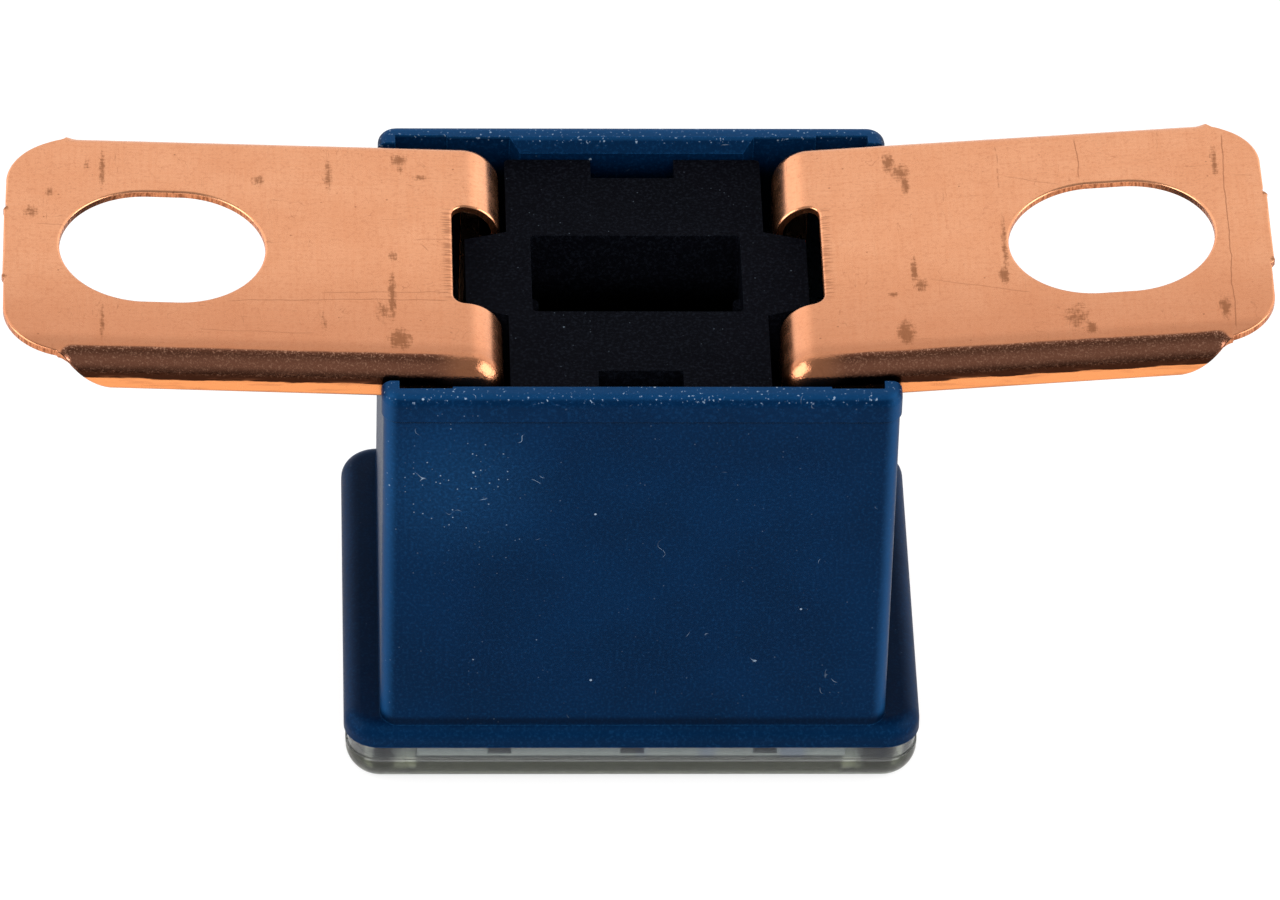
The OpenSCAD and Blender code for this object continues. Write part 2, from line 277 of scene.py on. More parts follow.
    def mix(self, share: Value, first: object, second: object) -> Socket:
        """Mixes two colours.

        Args:
            share: Share of the second colour.
            first: First colour.
            second: Second colour.

        Returns:
            The colour.
        """
        made = self.node("Mix", share, data_type="RGBA")
        colours = [socket for socket in made.inputs if socket.type == "RGBA"]
        for socket, value in zip(colours, (first, second)):
            self.feed(socket, value)
        return next(socket for socket in made.outputs if socket.type == "RGBA")

    def bump(self, height: Socket, depth: float, normal: Socket | None = None) -> Socket:
        """Returns a normal bent by a height from 0 to 1, where 1 is the depth in millimetres."""
        return self.node("Bump", Strength=1.0, Distance=depth * MM, Height=height,
                         Normal=normal).outputs["Normal"]

    def rounded(self, radius: float) -> tuple[Socket, Socket]:
        """Rounds sharp edges in the shading.

        Args:
            radius: Radius, in millimetres.

        Returns:
            The rounded normal, and how far it leaves the face's own, from 0 to 1.
        """
        normal = self.node("Bevel", samples=2, Radius=radius * MM).outputs["Normal"]
        flat = self.node("NewGeometry").outputs["Normal"]
        return normal, self.ramp(self.measure("DOT_PRODUCT", normal, flat), 1.0, 0.8)

    def shader(self, kind: str, *values: object, **inputs: object) -> Socket:
        """Returns a new shader."""
        return self.node(kind, *values, **inputs).outputs[0]

    def output(self, shader: Socket, kind: str = "OutputMaterial") -> None:
        """Ends the tree with a shader."""
        self.node(kind, Surface=shader)


def link(name: str, data: bpy.types.ID) -> bpy.types.Object:
    """Puts an object in the scene.

    Args:
        name: Its name.
        data: Its mesh, camera or light.

    Returns:
        The object.
    """
    made = bpy.data.objects.new(name, data)
    bpy.context.scene.collection.objects.link(made)
    return made


def new_material(name: str) -> tuple[bpy.types.Material, Graph]:
    """Makes an empty node material.

    Args:
        name: The material's name.

    Returns:
        The material and its graph.
    """
    made = bpy.data.materials.new(name)
    made.use_nodes = True
    return made, Graph(made.node_tree)


@dataclass(frozen=True)
class Stain:
    """A brown smudge on the copper, by its place on the plate and its half sizes."""

    x: float
    y: float
    half_x: float
    half_y: float
    depth: float = 0.6


@dataclass(frozen=True)
class Scratch:
    """A straight scratch or tool mark on the copper, from one place on the plate to another."""

    x0: float
    y0: float
    x1: float
    y1: float
    width: float = 0.035
    depth: float = 0.5
    broken: bool = False


@dataclass(frozen=True)
class Web:
    """A web of hairlines: how it is stretched, where its noise starts, and its lines' width."""

    stretch: Place
    seed: float
    width: float = 0.004


@dataclass(frozen=True)
class CopperFinish:
    """Rolled copper: warm, softly streaked, with scratches and stains, painted shade and glints on
    its folds, a painted reflection on its lips, and painted shade towards the front and on the
    hidden legs.
    """

    light: Colour = srgb(248, 178, 135)
    deep: Colour = srgb(233, 157, 113)
    # darker grain, and painted shade that darkens the plates towards the front
    grain_and_front_shade: Colour = srgb(192, 118, 82)
    # painted shade on the folds, deepening as the sheet turns, and painted glints in its grain
    fold_shade: Colour = srgb(112, 70, 52)
    fold_half_shade: Colour = srgb(164, 108, 84)
    fold_deep_shade: Colour = srgb(54, 28, 17)
    fold_glints: Colour = srgb(240, 180, 148)
    # painted reflection: the lips' warmer orange, as of copper mirrored in copper
    lip_reflection: Colour = srgb(238, 152, 94)
    stain_colour: Colour = srgb(132, 78, 44)
    # colour of the marks, dots and scratches; also painted shade where the front fold begins, and
    # the darker foot of the lips
    mark_and_shade_colour: Colour = srgb(150, 92, 62)
    # painted shade on the legs inside the housing
    hidden_leg_shade: Colour = srgb(46, 30, 22)
    cut_light: Colour = srgb(214, 138, 96)
    cut_deep: Colour = srgb(150, 88, 56)
    roughness: float = 0.25
    fold_roughness: float = 0.2
    flat_half: float = 5.8
    opening_x: float = 7.01
    opening_half: float = 2.9
    # where the painted shade of the folds fades out, by distance from the middle
    fold_shade_fade: Point = (6.6, 7.9)
    # drops down the lip where painted deep shade gives way to the lip's colour, and where its foot
    # darkens
    lip_starts: Point = (0.97, 0.92)
    lip_foot: Point = (1.36, 1.44)
    # heights where the painted shade of the legs starts and ends
    leg_top: Point = (17.3, 16.0)
    leg_foot: Point = (7.0, 10.0)
    waver: float = 0.3
    web_depth: float = 0.4
    webs: tuple[Web, ...] = (
        Web((0.3, 3.0, 1.0), 0.0), Web((3.0, 0.3, 1.0), 7.0), Web((1.0, 1.0, 1.0), 4.0))
    stains: tuple[Stain, ...] = (
        Stain(-9.01, 5.58, 0.42, 0.42, 1.0), Stain(-8.95, 5.1, 0.14, 0.5, 0.7),
        Stain(-8.15, 4.54, 0.45, 0.25, 0.65), Stain(-11.7, 4.5, 0.22, 1.2, 0.7),
        Stain(-9.27, -0.25, 0.22, 0.4, 0.8), Stain(-9.32, -2.7, 0.2, 1.9, 1.0),
        Stain(-9.65, -3.6, 0.4, 0.9, 0.55), Stain(-9.05, -5.2, 0.55, 0.8, 1.1),
        Stain(-20.9, 4.8, 0.18, 0.5, 0.55), Stain(-22.3, 3.1, 0.22, 0.4, 0.6),
        Stain(-23.0, 1.9, 0.4, 0.5, 0.7), Stain(-14.4, 4.1, 0.35, 0.5, 0.5),
        Stain(-11.9, -4.3, 0.16, 1.0, 0.5), Stain(-24.0, 2.05, 0.2, 0.2, 1.0),
        Stain(-24.0, -2.05, 0.2, 0.2, 1.0), Stain(-20.32, 4.5, 0.17, 1.5, 0.8),
        Stain(-20.23, -4.6, 0.13, 1.4, 0.7), Stain(9.75, 5.3, 0.3, 0.85, 1.05),
        Stain(10.2, 4.6, 0.45, 0.75, 0.8), Stain(10.35, 3.9, 0.22, 0.8, 1.0),
        Stain(10.45, -1.4, 0.18, 1.1, 0.9), Stain(10.65, -2.2, 0.4, 0.6, 0.8),
        Stain(10.0, -5.0, 0.45, 0.9, 1.05), Stain(9.6, -2.7, 0.26, 0.2, 0.8),
        Stain(13.93, -0.2, 0.16, 2.4, 0.65), Stain(13.83, -1.9, 0.26, 0.7, 1.0),
        Stain(16.4, -4.7, 0.7, 1.1, 0.6), Stain(16.93, -5.35, 0.28, 0.5, 1.0),
        Stain(22.15, 4.2, 0.2, 1.2, 0.8), Stain(22.0, -4.6, 0.3, 1.0, 0.9),
        Stain(24.0, -1.95, 0.2, 0.2, 1.0), Stain(23.95, 2.05, 0.18, 0.18, 0.9),
    )
    scratches: tuple[Scratch, ...] = (
        Scratch(-15.6, -3.15, -7.1, -2.8), Scratch(-12.1, -2.55, -7.1, -2.35, 0.04, 0.4),
        Scratch(-8.6, 0.75, -7.2, 0.85, 0.03, 0.5), Scratch(-8.3, 0.6, -7.9, 0.05, 0.03, 0.45),
        Scratch(-22.9, 1.2, -20.6, 1.0, 0.03, 0.4), Scratch(22.53, 5.85, 22.33, -6.0, 0.03, 0.65),
        Scratch(16.96, 6.1, 16.96, 3.5, 0.03, 0.6),
        Scratch(13.9, 6.0, 13.93, 3.2, 0.035, 0.4, True),
        Scratch(14.1, 4.0, 16.3, 3.2, 0.03, 0.35), Scratch(11.0, -1.9, 14.9, -3.1, 0.035, 0.35),
        Scratch(22.7, 3.3, 23.7, 3.1, 0.03, 0.4), Scratch(-16.8, -4.9, -12.2, -5.0, 0.04, 0.3),
    )

    def stained(self, g: Graph, where: Socket) -> Socket:
        """Draws the smudges: ragged patches that break up into streaks along and across.

        Args:
            g: The graph.
            where: Place, in millimetres.

        Returns:
            How stained each place is, from 0 to 1.
        """
        total: Value = 0.0
        for s in self.stains:
            off = g.vector("SUBTRACT", where, (s.x, s.y, 0.0))
            off = g.stretched(off, (1 / s.half_x, 1 / s.half_y, 0.0))
            near = g.scaled(g.measure("LENGTH", off), -s.depth, s.depth)
            total = g.larger(total, near)
        upright = g.noise(g.stretched(where, (3.4, 0.8, 1.0)), 3.0, 3.0, 0.6)
        level = g.noise(g.stretched(where, (1.0, 3.0, 1.0)), 3.2, 3.0, 0.6)
        broken = g.plus(upright, level)
        broken = g.scaled(broken, 1.4, -1.35)
        ragged = g.plus(total, g.times(broken, g.ramp(total, 0.0, 0.2)))
        return g.ramp(ragged, 0.1, 0.8, 0.0, 0.7)

    def scratched(self, g: Graph, where: Socket) -> Socket:
        """Draws the separate scratches and a web of hairlines.

        Args:
            g: The graph.
            where: Place, in millimetres.

        Returns:
            Where the scratches are, from 0 to 1.
        """
        total: Value = 0.0
        for web in self.webs:
            moved = g.vector("ADD", g.stretched(where, web.stretch), (web.seed, web.seed, 0.0))
            line = g.around(g.noise(moved, 0.7, 2.0), web.width, 0.0, middle=0.5)
            away = g.vector("ADD", where, (web.seed, 3.0, 0.0))
            patch = g.ramp(g.noise(away, 0.5, 2.0), 0.52, 0.62)
            total = g.larger(total, g.times(line, patch))
        total = g.times(total, self.web_depth)
        wavy = g.wavered(where, 0.7, self.waver)
        dashes = g.ramp(g.noise(where, 2.6, 2.0), 0.45, 0.55)
        for s in self.scratches:
            length = math.hypot(s.x1 - s.x0, s.y1 - s.y0)
            way = ((s.x1 - s.x0) / length, (s.y1 - s.y0) / length)
            off = g.vector("SUBTRACT", wavy, ((s.x0 + s.x1) / 2, (s.y0 + s.y1) / 2, 0.0))
            along = g.size(g.measure("DOT_PRODUCT", off, (*way, 0.0)))
            across = g.size(g.measure("DOT_PRODUCT", off, (-way[1], way[0], 0.0)))
            line = g.times(g.ramp(across, s.width, s.width * 0.3, 0.0, s.depth),
                           g.ramp(along, length / 2, length / 2 - 0.3))
            if s.broken:
                line = g.times(line, dashes)
            total = g.larger(total, line)
        return total

    def hatched(self, g: Graph, where: Socket) -> Socket:
        """Draws the short marks that the punch left beside the openings.

        Args:
            g: The graph.
            where: Place, in millimetres.

        Returns:
            Where the marks are, from 0 to 1.
        """
        x, y, _ = g.split(where)
        beyond = g.minus(g.size(x), self.opening_x)
        stripes = g.noise(g.stretched(where, (1.2, 12.0, 0.0)), 1.0, 1.0)
        near = g.ramp(g.scaled(stripes, -0.5, beyond), 0.2, -0.1)
        inside = g.around(y, self.opening_half, self.opening_half - 0.5)
        marks = g.times(g.ramp(stripes, 0.45, 0.6), inside)
        return g.times(near, marks)

    def sheet_tone(self, g: Graph, where: Socket, scratch: Socket) -> Socket:
        """Mixes the colour of the flat parts, with painted shade towards the front and where the
        front fold begins.

        Args:
            g: The graph.
            where: Place, in millimetres.
            scratch: Where the scratches are.

        Returns:
            The colour.
        """
        _, y, _ = g.split(where)
        cloud = g.noise(where, 0.35, 3.0, 0.6)
        across = g.noise(g.stretched(where, (0.25, 5.0, 1.0)), 1.8, 3.0, 0.65)
        along = g.noise(g.stretched(where, (5.0, 0.25, 1.0)), 1.8, 3.0, 0.65)
        grain = g.noise(where, 7.0, 2.0, 0.7)
        colour = g.mix(g.ramp(cloud, 0.25, 0.75, 0.1, 0.6), self.light, self.deep)
        colour = g.mix(g.ramp(across, 0.4, 0.75, 0.0, 0.4), colour, self.deep)
        colour = g.mix(g.ramp(along, 0.4, 0.75, 0.0, 0.4), colour, self.deep)
        colour = g.mix(g.ramp(grain, 0.45, 0.75, 0.0, 0.3), colour, self.grain_and_front_shade)
        # painted shade: the plates darken towards the front
        colour = g.mix(g.ramp(y, 0.5, -self.flat_half, 0.0, 0.42), colour, self.grain_and_front_shade)
        # painted shade where the front fold begins
        near_fold_shade = g.ramp(y, 0.6 - self.flat_half, -self.flat_half, 0.0, 0.3)
        colour = g.mix(near_fold_shade, colour, self.mark_and_shade_colour)
        colour = g.mix(self.stained(g, where), colour, self.stain_colour)
        colour = g.mix(g.times(self.hatched(g, where), 0.5), colour, self.mark_and_shade_colour)
        gap, kind = g.cells(g.stretched(where, (1.0, 1.0, 0.3)), 1.6)
        dot = g.times(g.ramp(gap, 0.09, 0.04), g.ramp(kind, 0.72, 0.8, 0.0, 0.6))
        colour = g.mix(dot, colour, self.mark_and_shade_colour)
        return g.mix(scratch, colour, self.mark_and_shade_colour)

    def tone(self, g: Graph, where: Socket, flat: Socket, fold: Socket) -> Socket:
        """Lays painted shade and glints on the folds, a painted reflection on the lips and painted
        shade on the hidden legs over the colour of the flat parts.

        Args:
            g: The graph.
            where: Place, in millimetres.
            flat: The colour of the flat parts.
            fold: How far the fold turns the sheet, where 1 is a right angle.

        Returns:
            The colour.
        """
        x, y, z = g.split(where)
        # the painted shade of the folds fades out towards the shoulders
        out = g.around(x, *self.fold_shade_fade)
        turned = g.minus(fold, g.ramp(y, -1.0, 1.0, 0.0, 0.3))
        streak = g.noise(g.stretched(where, (0.35, 3.0, 3.0)), 1.6, 3.0, 0.6)
        turned = g.scaled(g.minus(streak, 0.5), 0.08, turned)
        # painted shade across the fold, deeper as the sheet turns, lighter on the rear fold
        band = g.mix(g.ramp(turned, 0.2, 0.5), self.fold_shade, self.fold_half_shade)
        band = g.mix(g.ramp(turned, 0.55, 0.82), band, self.fold_deep_shade)
        # painted glints in the fold's grain
        grain = g.noise(where, 13.0, 2.0, 0.7)
        lit = g.times(g.ramp(grain, 0.5, 0.72, 0.0, 0.6), g.ramp(turned, 0.9, 0.5))
        band = g.mix(lit, band, self.fold_glints)
        colour = g.mix(g.times(g.ramp(turned, 0.1, 0.17), out), flat, band)
        # painted reflection on the lip, with painted deep shade where it leaves the fold, and
        # darker towards its foot
        drop = g.scaled(g.minus(streak, 0.5), 0.3, g.attribute(DROP))
        lip = g.mix(g.ramp(drop, *self.lip_starts), self.lip_reflection, self.fold_deep_shade)
        lip = g.mix(g.ramp(g.attribute(DROP), *self.lip_foot, 0.0, 0.5), lip, self.mark_and_shade_colour)
        lip = g.mix(g.ramp(streak, 0.5, 0.7, 0.0, 0.3), lip, self.mark_and_shade_colour)
        colour = g.mix(g.times(g.ramp(fold, 0.86, 0.9), out), colour, lip)
        # painted shade on the legs inside the housing
        deep = g.times(g.ramp(z, *self.leg_top), g.ramp(z, *self.leg_foot))
        return g.mix(deep, colour, self.hidden_leg_shade)

    def build(self) -> bpy.types.Material:
        """Makes the finish of the sheet's faces.

        Returns:
            The material.
        """
        made, g = new_material("rolled_copper")
        where = g.place()
        fold = g.attribute(FOLD)
        scratch = self.scratched(g, where)
        colour = self.tone(g, where, self.sheet_tone(g, where, scratch), fold)
        mottle = g.noise(where, 1.6, 3.0, 0.65)
        rough = g.ramp(mottle, 0.3, 0.8, self.roughness - 0.02, self.roughness + 0.05)
        turned = g.times(g.ramp(fold, 0.05, 0.2), g.ramp(fold, 1.0, 0.9))
        rough = g.minus(rough, g.times(turned, self.roughness - self.fold_roughness))
        rough = g.scaled(scratch, 0.1, rough)
        grain = g.noise(g.stretched(where, (0.5, 1.0, 1.0)), 16.0, 2.0, 0.5)
        normal = g.bump(grain, 0.0004)
        normal = g.bump(g.times(g.noise(where, 9.0, 2.0, 0.7), turned), 0.01, normal)
        normal = g.bump(g.noise(where, 0.5, 1.0), 0.004, normal)
        g.output(g.shader(PRINCIPLED, Base_Color=colour, Metallic=1.0, Roughness=rough,
                          Normal=normal))
        return made

    def build_cut(self) -> bpy.types.Material:
        """Makes the finish of the sheared edges.

        Returns:
            The material.
        """
        made, g = new_material("sheared_copper")
        where = g.place()
        torn = g.noise(g.stretched(where, (4.0, 4.0, 1.0)), 3.0, 3.0)
        colour = g.mix(g.ramp(torn, 0.35, 0.7), self.cut_light, self.cut_deep)
        normal = g.bump(torn, 0.02)
        rough = g.ramp(torn, 0.2, 0.8, 0.3, 0.5)
        g.output(g.shader(PRINCIPLED, Base_Color=colour, Metallic=1.0, Roughness=rough,
                          Normal=normal))
        return made


@dataclass(frozen=True)
class MouldedFinish:
    """Moulded plastic with a fine skin, specks and threads of dust, painted highlights on its
    edges, rim, rear wall and uprights, and painted shade in its creases and inside its walls.
    """

    name: str
    colour: Colour
    shade: Colour
    # colour of the skin's flecks and of the painted highlights on edges, rim, rear wall and
    # uprights
    edge: Colour
    dust: Colour
    roughness: float
    edge_radius: float = 0.06
    speckle: float = 0.5
    crowding: float = 0.35
    threads: float = 0.5
    skin_share: float = 0.12
    dust_patch: Place = (-7.0, -8.25, 15.0)
    dust_reach: float = 5.0
    dust_floor: float = 3.0
    # painted shade inside the walls starts below this height
    shade_below: float = 18.9
    inner: Point = (9.12, 7.68)
    outer: Point = (9.65, 8.2)
    # colour of the painted shadow under the band's step and of the painted shade at the flange's
    # foot
    painted_shading_colour: Colour = (0.0, 0.001, 0.006)
    # painted shade inside the walls: how far it fades in, how dark it gets, and the heights where
    # it gives way towards the window
    inner_fade: float = 1.7
    inner_shade: float = 0.94
    window_light: Point = (6.0, 10.0)
    # painted highlights on the front upright corners
    upright_x: Point = (9.1, 9.55)
    upright_y: Point = (-7.6, -8.1)
    upright_highlight: float = 0.35
    # painted shadow line under the step of the rim band
    step_shadow_z: float | None = None
    step_shadow_dark: float = 0.75
    # painted shade in the crease at the flange's foot
    foot_z: float = 3.2
    foot_shade: float = 0.6
    # painted light on the rim's top
    rim_z: float = 19.1
    rim_painted_light: float = 0.22
    # painted light on the inner rear wall
    rear_y: Point = (7.6, 8.2)
    rear_painted_light: float = 0.15
    gloss: float = 0.2
    gloss_tint: Colour = WHITE

    def dusted(self, g: Graph, where: Socket) -> Socket:
        """Scatters specks and short threads of dust, most of them round one place.

        Args:
            g: The graph.
            where: Place, in millimetres.

        Returns:
            Where the dust is, from 0 to 1.
        """
        _, _, z = g.split(where)
        near = g.ramp(g.measure("DISTANCE", where, self.dust_patch), self.dust_reach, 0.0)
        gap, kind = g.cells(where, 6.0)
        patchy = g.ramp(g.noise(where, 1.3, 2.0, 0.7), 0.4, 0.6, -0.1, 1.0)
        crowd = g.times(near, patchy)
        chosen = g.ramp(g.scaled(crowd, self.crowding, kind), 0.93, 1.0)
        spot = g.times(g.ramp(gap, 0.22, 0.08), chosen)
        share = g.scaled(near, self.speckle, 0.12)
        few, lone = g.cells(g.vector("ADD", where, (0.4, 0.7, 0.2)), 0.9)
        big = g.times(g.ramp(few, 0.055, 0.03), g.ramp(lone, 0.6, 0.7, 0.0, 0.6))
        total = g.larger(g.times(spot, share), big)
        if self.threads:
            line = g.around(g.noise(where, 1.1, 1.0), 0.006, 0.002, middle=0.5)
            patch = g.ramp(g.noise(where, 0.9, 1.0), 0.71, 0.77, 0.0, self.threads)
            total = g.larger(total, g.times(line, patch))
        return g.times(total, g.ramp(z, self.dust_floor, self.dust_floor + 0.2))

    def lined(self, g: Graph, where: Socket, colour: Socket) -> Socket:
        """Paints a shadow under the rim band's step, shade in the crease at the flange's foot and
        highlights on the upright corners.

        Args:
            g: The graph.
            where: Place, in millimetres.
            colour: The colour so far.

        Returns:
            The colour.
        """
        x, y, z = g.split(where)
        outside = g.larger(g.around(y, self.outer[1] - 0.1, self.outer[1] - 0.05),
                           g.around(x, self.outer[0] - 0.1, self.outer[0] - 0.05))
        # painted shadow under the band's step
        step_shadow = g.around(z, 0.055, 0.02, middle=self.step_shadow_z)
        step_shadow = g.times(step_shadow, g.times(outside, self.step_shadow_dark))
        colour = g.mix(step_shadow, colour, self.painted_shading_colour)
        # painted shade in the crease at the flange's foot
        crease_shade = g.around(z, 0.3, 0.05, 0.0, self.foot_shade, middle=self.foot_z)
        colour = g.mix(crease_shade, colour, self.painted_shading_colour)
        # painted highlights on the front upright corners
        upright = g.times(g.around(x, *self.upright_x),
                          g.ramp(y, *self.upright_y, 0.0, self.upright_highlight))
        upright = g.times(upright, g.ramp(z, self.foot_z, self.foot_z + 0.5))
        return g.mix(upright, colour, self.edge)

    def tone(self, g: Graph, where: Socket, skin: Socket, edge: Socket) -> Socket:
        """Mixes the colour, with painted light on the rim, the inner rear wall and the edges, and
        painted shade inside the walls.

        Args:
            g: The graph.
            where: Place, in millimetres.
            skin: The fine skin's height.
            edge: How near a sharp edge is, from 0 to 1.

        Returns:
            The colour.
        """
        x, y, z = g.split(where)
        colour = g.mix(g.ramp(g.noise(where, 0.25, 2.0), 0.3, 0.7), self.colour, self.shade)
        away = g.measure("DISTANCE", where, self.dust_patch)
        near = g.ramp(away, self.dust_reach, 0.0, 0.0, 0.3)
        share = g.plus(g.ramp(skin, 0.45, 0.75, 0.0, self.skin_share), g.times(near, skin))
        colour = g.mix(share, colour, self.edge)
        # painted light on the rim's top and the inner rear wall
        high = g.times(g.ramp(z, self.rim_z, self.rim_z + 0.1), self.rim_painted_light)
        rear_lit = g.ramp(y, *self.rear_y, 0.0, self.rear_painted_light)
        colour = g.mix(g.plus(high, rear_lit), colour, self.edge)
        # painted highlights on the sharp edges, broken up by a noise
        edge_highlight = g.times(edge, g.ramp(g.noise(where, 4.0, 2.0, 0.7), 0.3, 0.65, 0.2, 0.8))
        colour = g.mix(edge_highlight, colour, self.edge)
        flecked = g.ramp(z, self.rim_z - 0.15, self.rim_z)
        fleck = g.times(g.ramp(g.noise(where, 8.0, 1.0), 0.66, 0.74, 0.0, 0.45), flecked)
        colour = g.mix(fleck, colour, self.dust)
        if self.step_shadow_z is not None:
            colour = self.lined(g, where, colour)
        colour = g.mix(self.dusted(g, where), colour, self.dust)
        # painted shade inside the walls, deepening downwards and giving way towards the window
        inside = g.times(g.around(x, self.inner[0] + 0.04, self.inner[0]),
                         g.around(y, self.inner[1] + 0.04, self.inner[1]))
        bottom = self.shade_below - self.inner_fade
        deep = g.times(g.ramp(z, self.shade_below, bottom, 0.0, self.inner_shade),
                       g.ramp(z, *self.window_light))
        return g.mix(g.times(inside, deep), colour, UNLIT)

    def build(self) -> bpy.types.Material:
        """Makes the finish.

        Returns:
            The material.
        """
        made, g = new_material(self.name)
        where = g.place()
        normal, edge = g.rounded(self.edge_radius)
        skin = g.noise(where, 8.0, 2.0, 0.65)
        colour = self.tone(g, where, skin, edge)
        rough = g.ramp(skin, 0.25, 0.75, self.roughness - 0.06, self.roughness + 0.1)
        normal = g.bump(skin, 0.003, normal)
        normal = g.bump(g.noise(where, 1.0, 1.0), 0.01, normal)
        g.output(g.shader(PRINCIPLED, Base_Color=colour, Roughness=rough, Normal=normal,
                          Specular_IOR_Level=self.gloss, Specular_Tint=self.gloss_tint))
        return made


@dataclass(frozen=True)
class ClearFinish:
    """Clear plastic with an olive cast, painted shading across its rim band, and painted
    highlights on its lines, edges and corners.
    """

    tint: Colour = srgb(120, 125, 102)
    clouded: Colour = srgb(100, 105, 84)
    # painted shading across the rim band: lighter at its foot, darker and bluer under the flange
    band_lit: Colour = srgb(142, 150, 154)
    band_shaded: Colour = srgb(84, 92, 106)
    # colour of the painted highlights on the lines, edges and corners
    painted_shading_colour: Colour = srgb(236, 238, 238)
    blue_cast: Colour = srgb(70, 84, 128)
    window: Colour = srgb(232, 236, 230)
    window_half: Point = (9.0, 7.3)
    band_z: float = 1.43
    band_h: float = 0.67
    corner_x: float = 9.7
    outer: Point = (10.8, 8.3)
    edge_radius: float = 0.05
    roughness: float = 0.12
    clearness: float = 0.9
    index: float = 1.5

    def banded(self, g: Graph, where: Socket, haze: Socket, edge: Socket) -> Socket:
        """Mixes the colour of the rim: olive below, with painted shading across the band above,
        and painted highlights on its lines, edges and corners.

        Args:
            g: The graph.
            where: Place, in millimetres.
            haze: The cloudiness, from 0 to 1.
            edge: How near a sharp edge is, from 0 to 1.

        Returns:
            The colour.
        """
        x, y, z = g.split(where)
        top_z = self.band_z + self.band_h
        # painted shading: lighter at the band's foot, darker and bluer towards the flange
        band = g.mix(g.ramp(z, self.band_z, top_z), self.band_lit, self.band_shaded)
        patch = g.noise(g.stretched(where, (1.0, 0.2, 0.0)), 0.45, 1.0)
        band = g.mix(g.ramp(patch, 0.55, 0.65, 0.0, 0.6), band, self.blue_cast)
        # painted highlights at the corners
        corner_highlight = g.times(g.around(x, self.corner_x, self.corner_x + 0.7),
                         g.ramp(haze, 0.3, 0.55, 0.4, 0.9))
        band = g.mix(corner_highlight, band, self.painted_shading_colour)
        colour = g.mix(g.ramp(haze, 0.3, 0.7), self.tint, self.clouded)
        colour = g.mix(g.ramp(z, self.band_z - 0.03, self.band_z + 0.03), colour, band)
        # painted highlights along the band's lower and upper lines and on the sharp edges
        line = g.around(z, 0.1, 0.05, 0.0, 0.95, middle=self.band_z - 0.02)
        top = g.around(z, 0.06, 0.02, middle=top_z - 0.04)
        line = g.larger(line, g.times(top, g.ramp(haze, 0.35, 0.6, 0.5, 0.9)))
        outside = g.larger(g.around(y, self.outer[1], self.outer[1] + 0.05),
                           g.around(x, self.outer[0], self.outer[0] + 0.05))
        line = g.larger(g.times(line, outside), g.times(edge, 0.6))
        return g.mix(line, colour, self.painted_shading_colour)

    def build(self) -> bpy.types.Material:
        """Makes the finish.

        Returns:
            The material.
        """
        made, g = new_material("clear_plastic")
        where = g.place()
        x, y, _ = g.split(where)
        normal, edge = g.rounded(self.edge_radius)
        haze = g.noise(where, 2.5, 3.0)
        normal = g.bump(haze, 0.006, normal)
        middle = g.times(g.around(x, self.window_half[0], self.window_half[0] - 0.6),
                         g.around(y, self.window_half[1], self.window_half[1] - 0.6))
        colour = g.mix(middle, self.banded(g, where, haze, edge), self.window)
        rough = g.ramp(haze, 0.3, 0.8, self.roughness - 0.04, self.roughness + 0.1)
        rough = g.times(rough, g.ramp(middle, 0.0, 1.0, 1.0, 0.3))
        g.output(g.shader(PRINCIPLED, Base_Color=colour, Roughness=rough, Normal=normal,
                          Transmission_Weight=self.clearness, IOR=self.index))
        return made


@dataclass(frozen=True)
class TinFinish:
    """Soft tin: pale grey, a little dull, with dents from the clinching punch."""

    light: Colour = srgb(196, 199, 203)
    deep: Colour = srgb(158, 161, 166)

    def build(self) -> bpy.types.Material:
        """Makes the finish.

        Returns:
            The material.
        """
        made, g = new_material("soft_tin")
        where = g.place()
        dents = g.noise(where, 2.4, 3.0)
        colour = g.mix(g.ramp(dents, 0.3, 0.7), self.light, self.deep)
        rough = g.ramp(dents, 0.3, 0.8, 0.28, 0.5)
        normal = g.bump(dents, 0.05)
        g.output(g.shader(PRINCIPLED, Base_Color=colour, Metallic=1.0, Roughness=rough,
                          Normal=normal))
        return made


def unit(rows: np.ndarray) -> np.ndarray:
    """Returns each row as a vector of length 1."""
    return rows / np.maximum(np.linalg.norm(rows, axis=1, keepdims=True), TINY)


def arc(g: float, w: float, radius: float, start: float, end: float, steps: int) -> list[Point]:
    """Draws an arc on the blank.

    Args:
        g: Its centre, along the path.
        w: Its centre, across the path.
        radius: Its radius.
        start: The angle it starts at, in degrees.
        end: The angle it ends at.
        steps: How many steps it has.

    Returns:
        Its points.
    """
    angles = np.radians(np.linspace(start, end, steps + 1))
    return [(g + radius * math.cos(a), w + radius * math.sin(a)) for a in angles]


def spline(knots: tuple[Point, ...], steps: int) -> list[Point]:
    """Draws a cubic curve.

    Args:
        knots: Its four control points.
        steps: How many steps it has.

    Returns:
        Its points.
    """
    first, lead, tail, last = (np.array(knot) for knot in knots)
    return [tuple((1 - t) ** 3 * first + 3 * t * (1 - t) ** 2 * lead
                  + 3 * t * t * (1 - t) * tail + t ** 3 * last)
            for t in np.linspace(0, 1, steps + 1)]


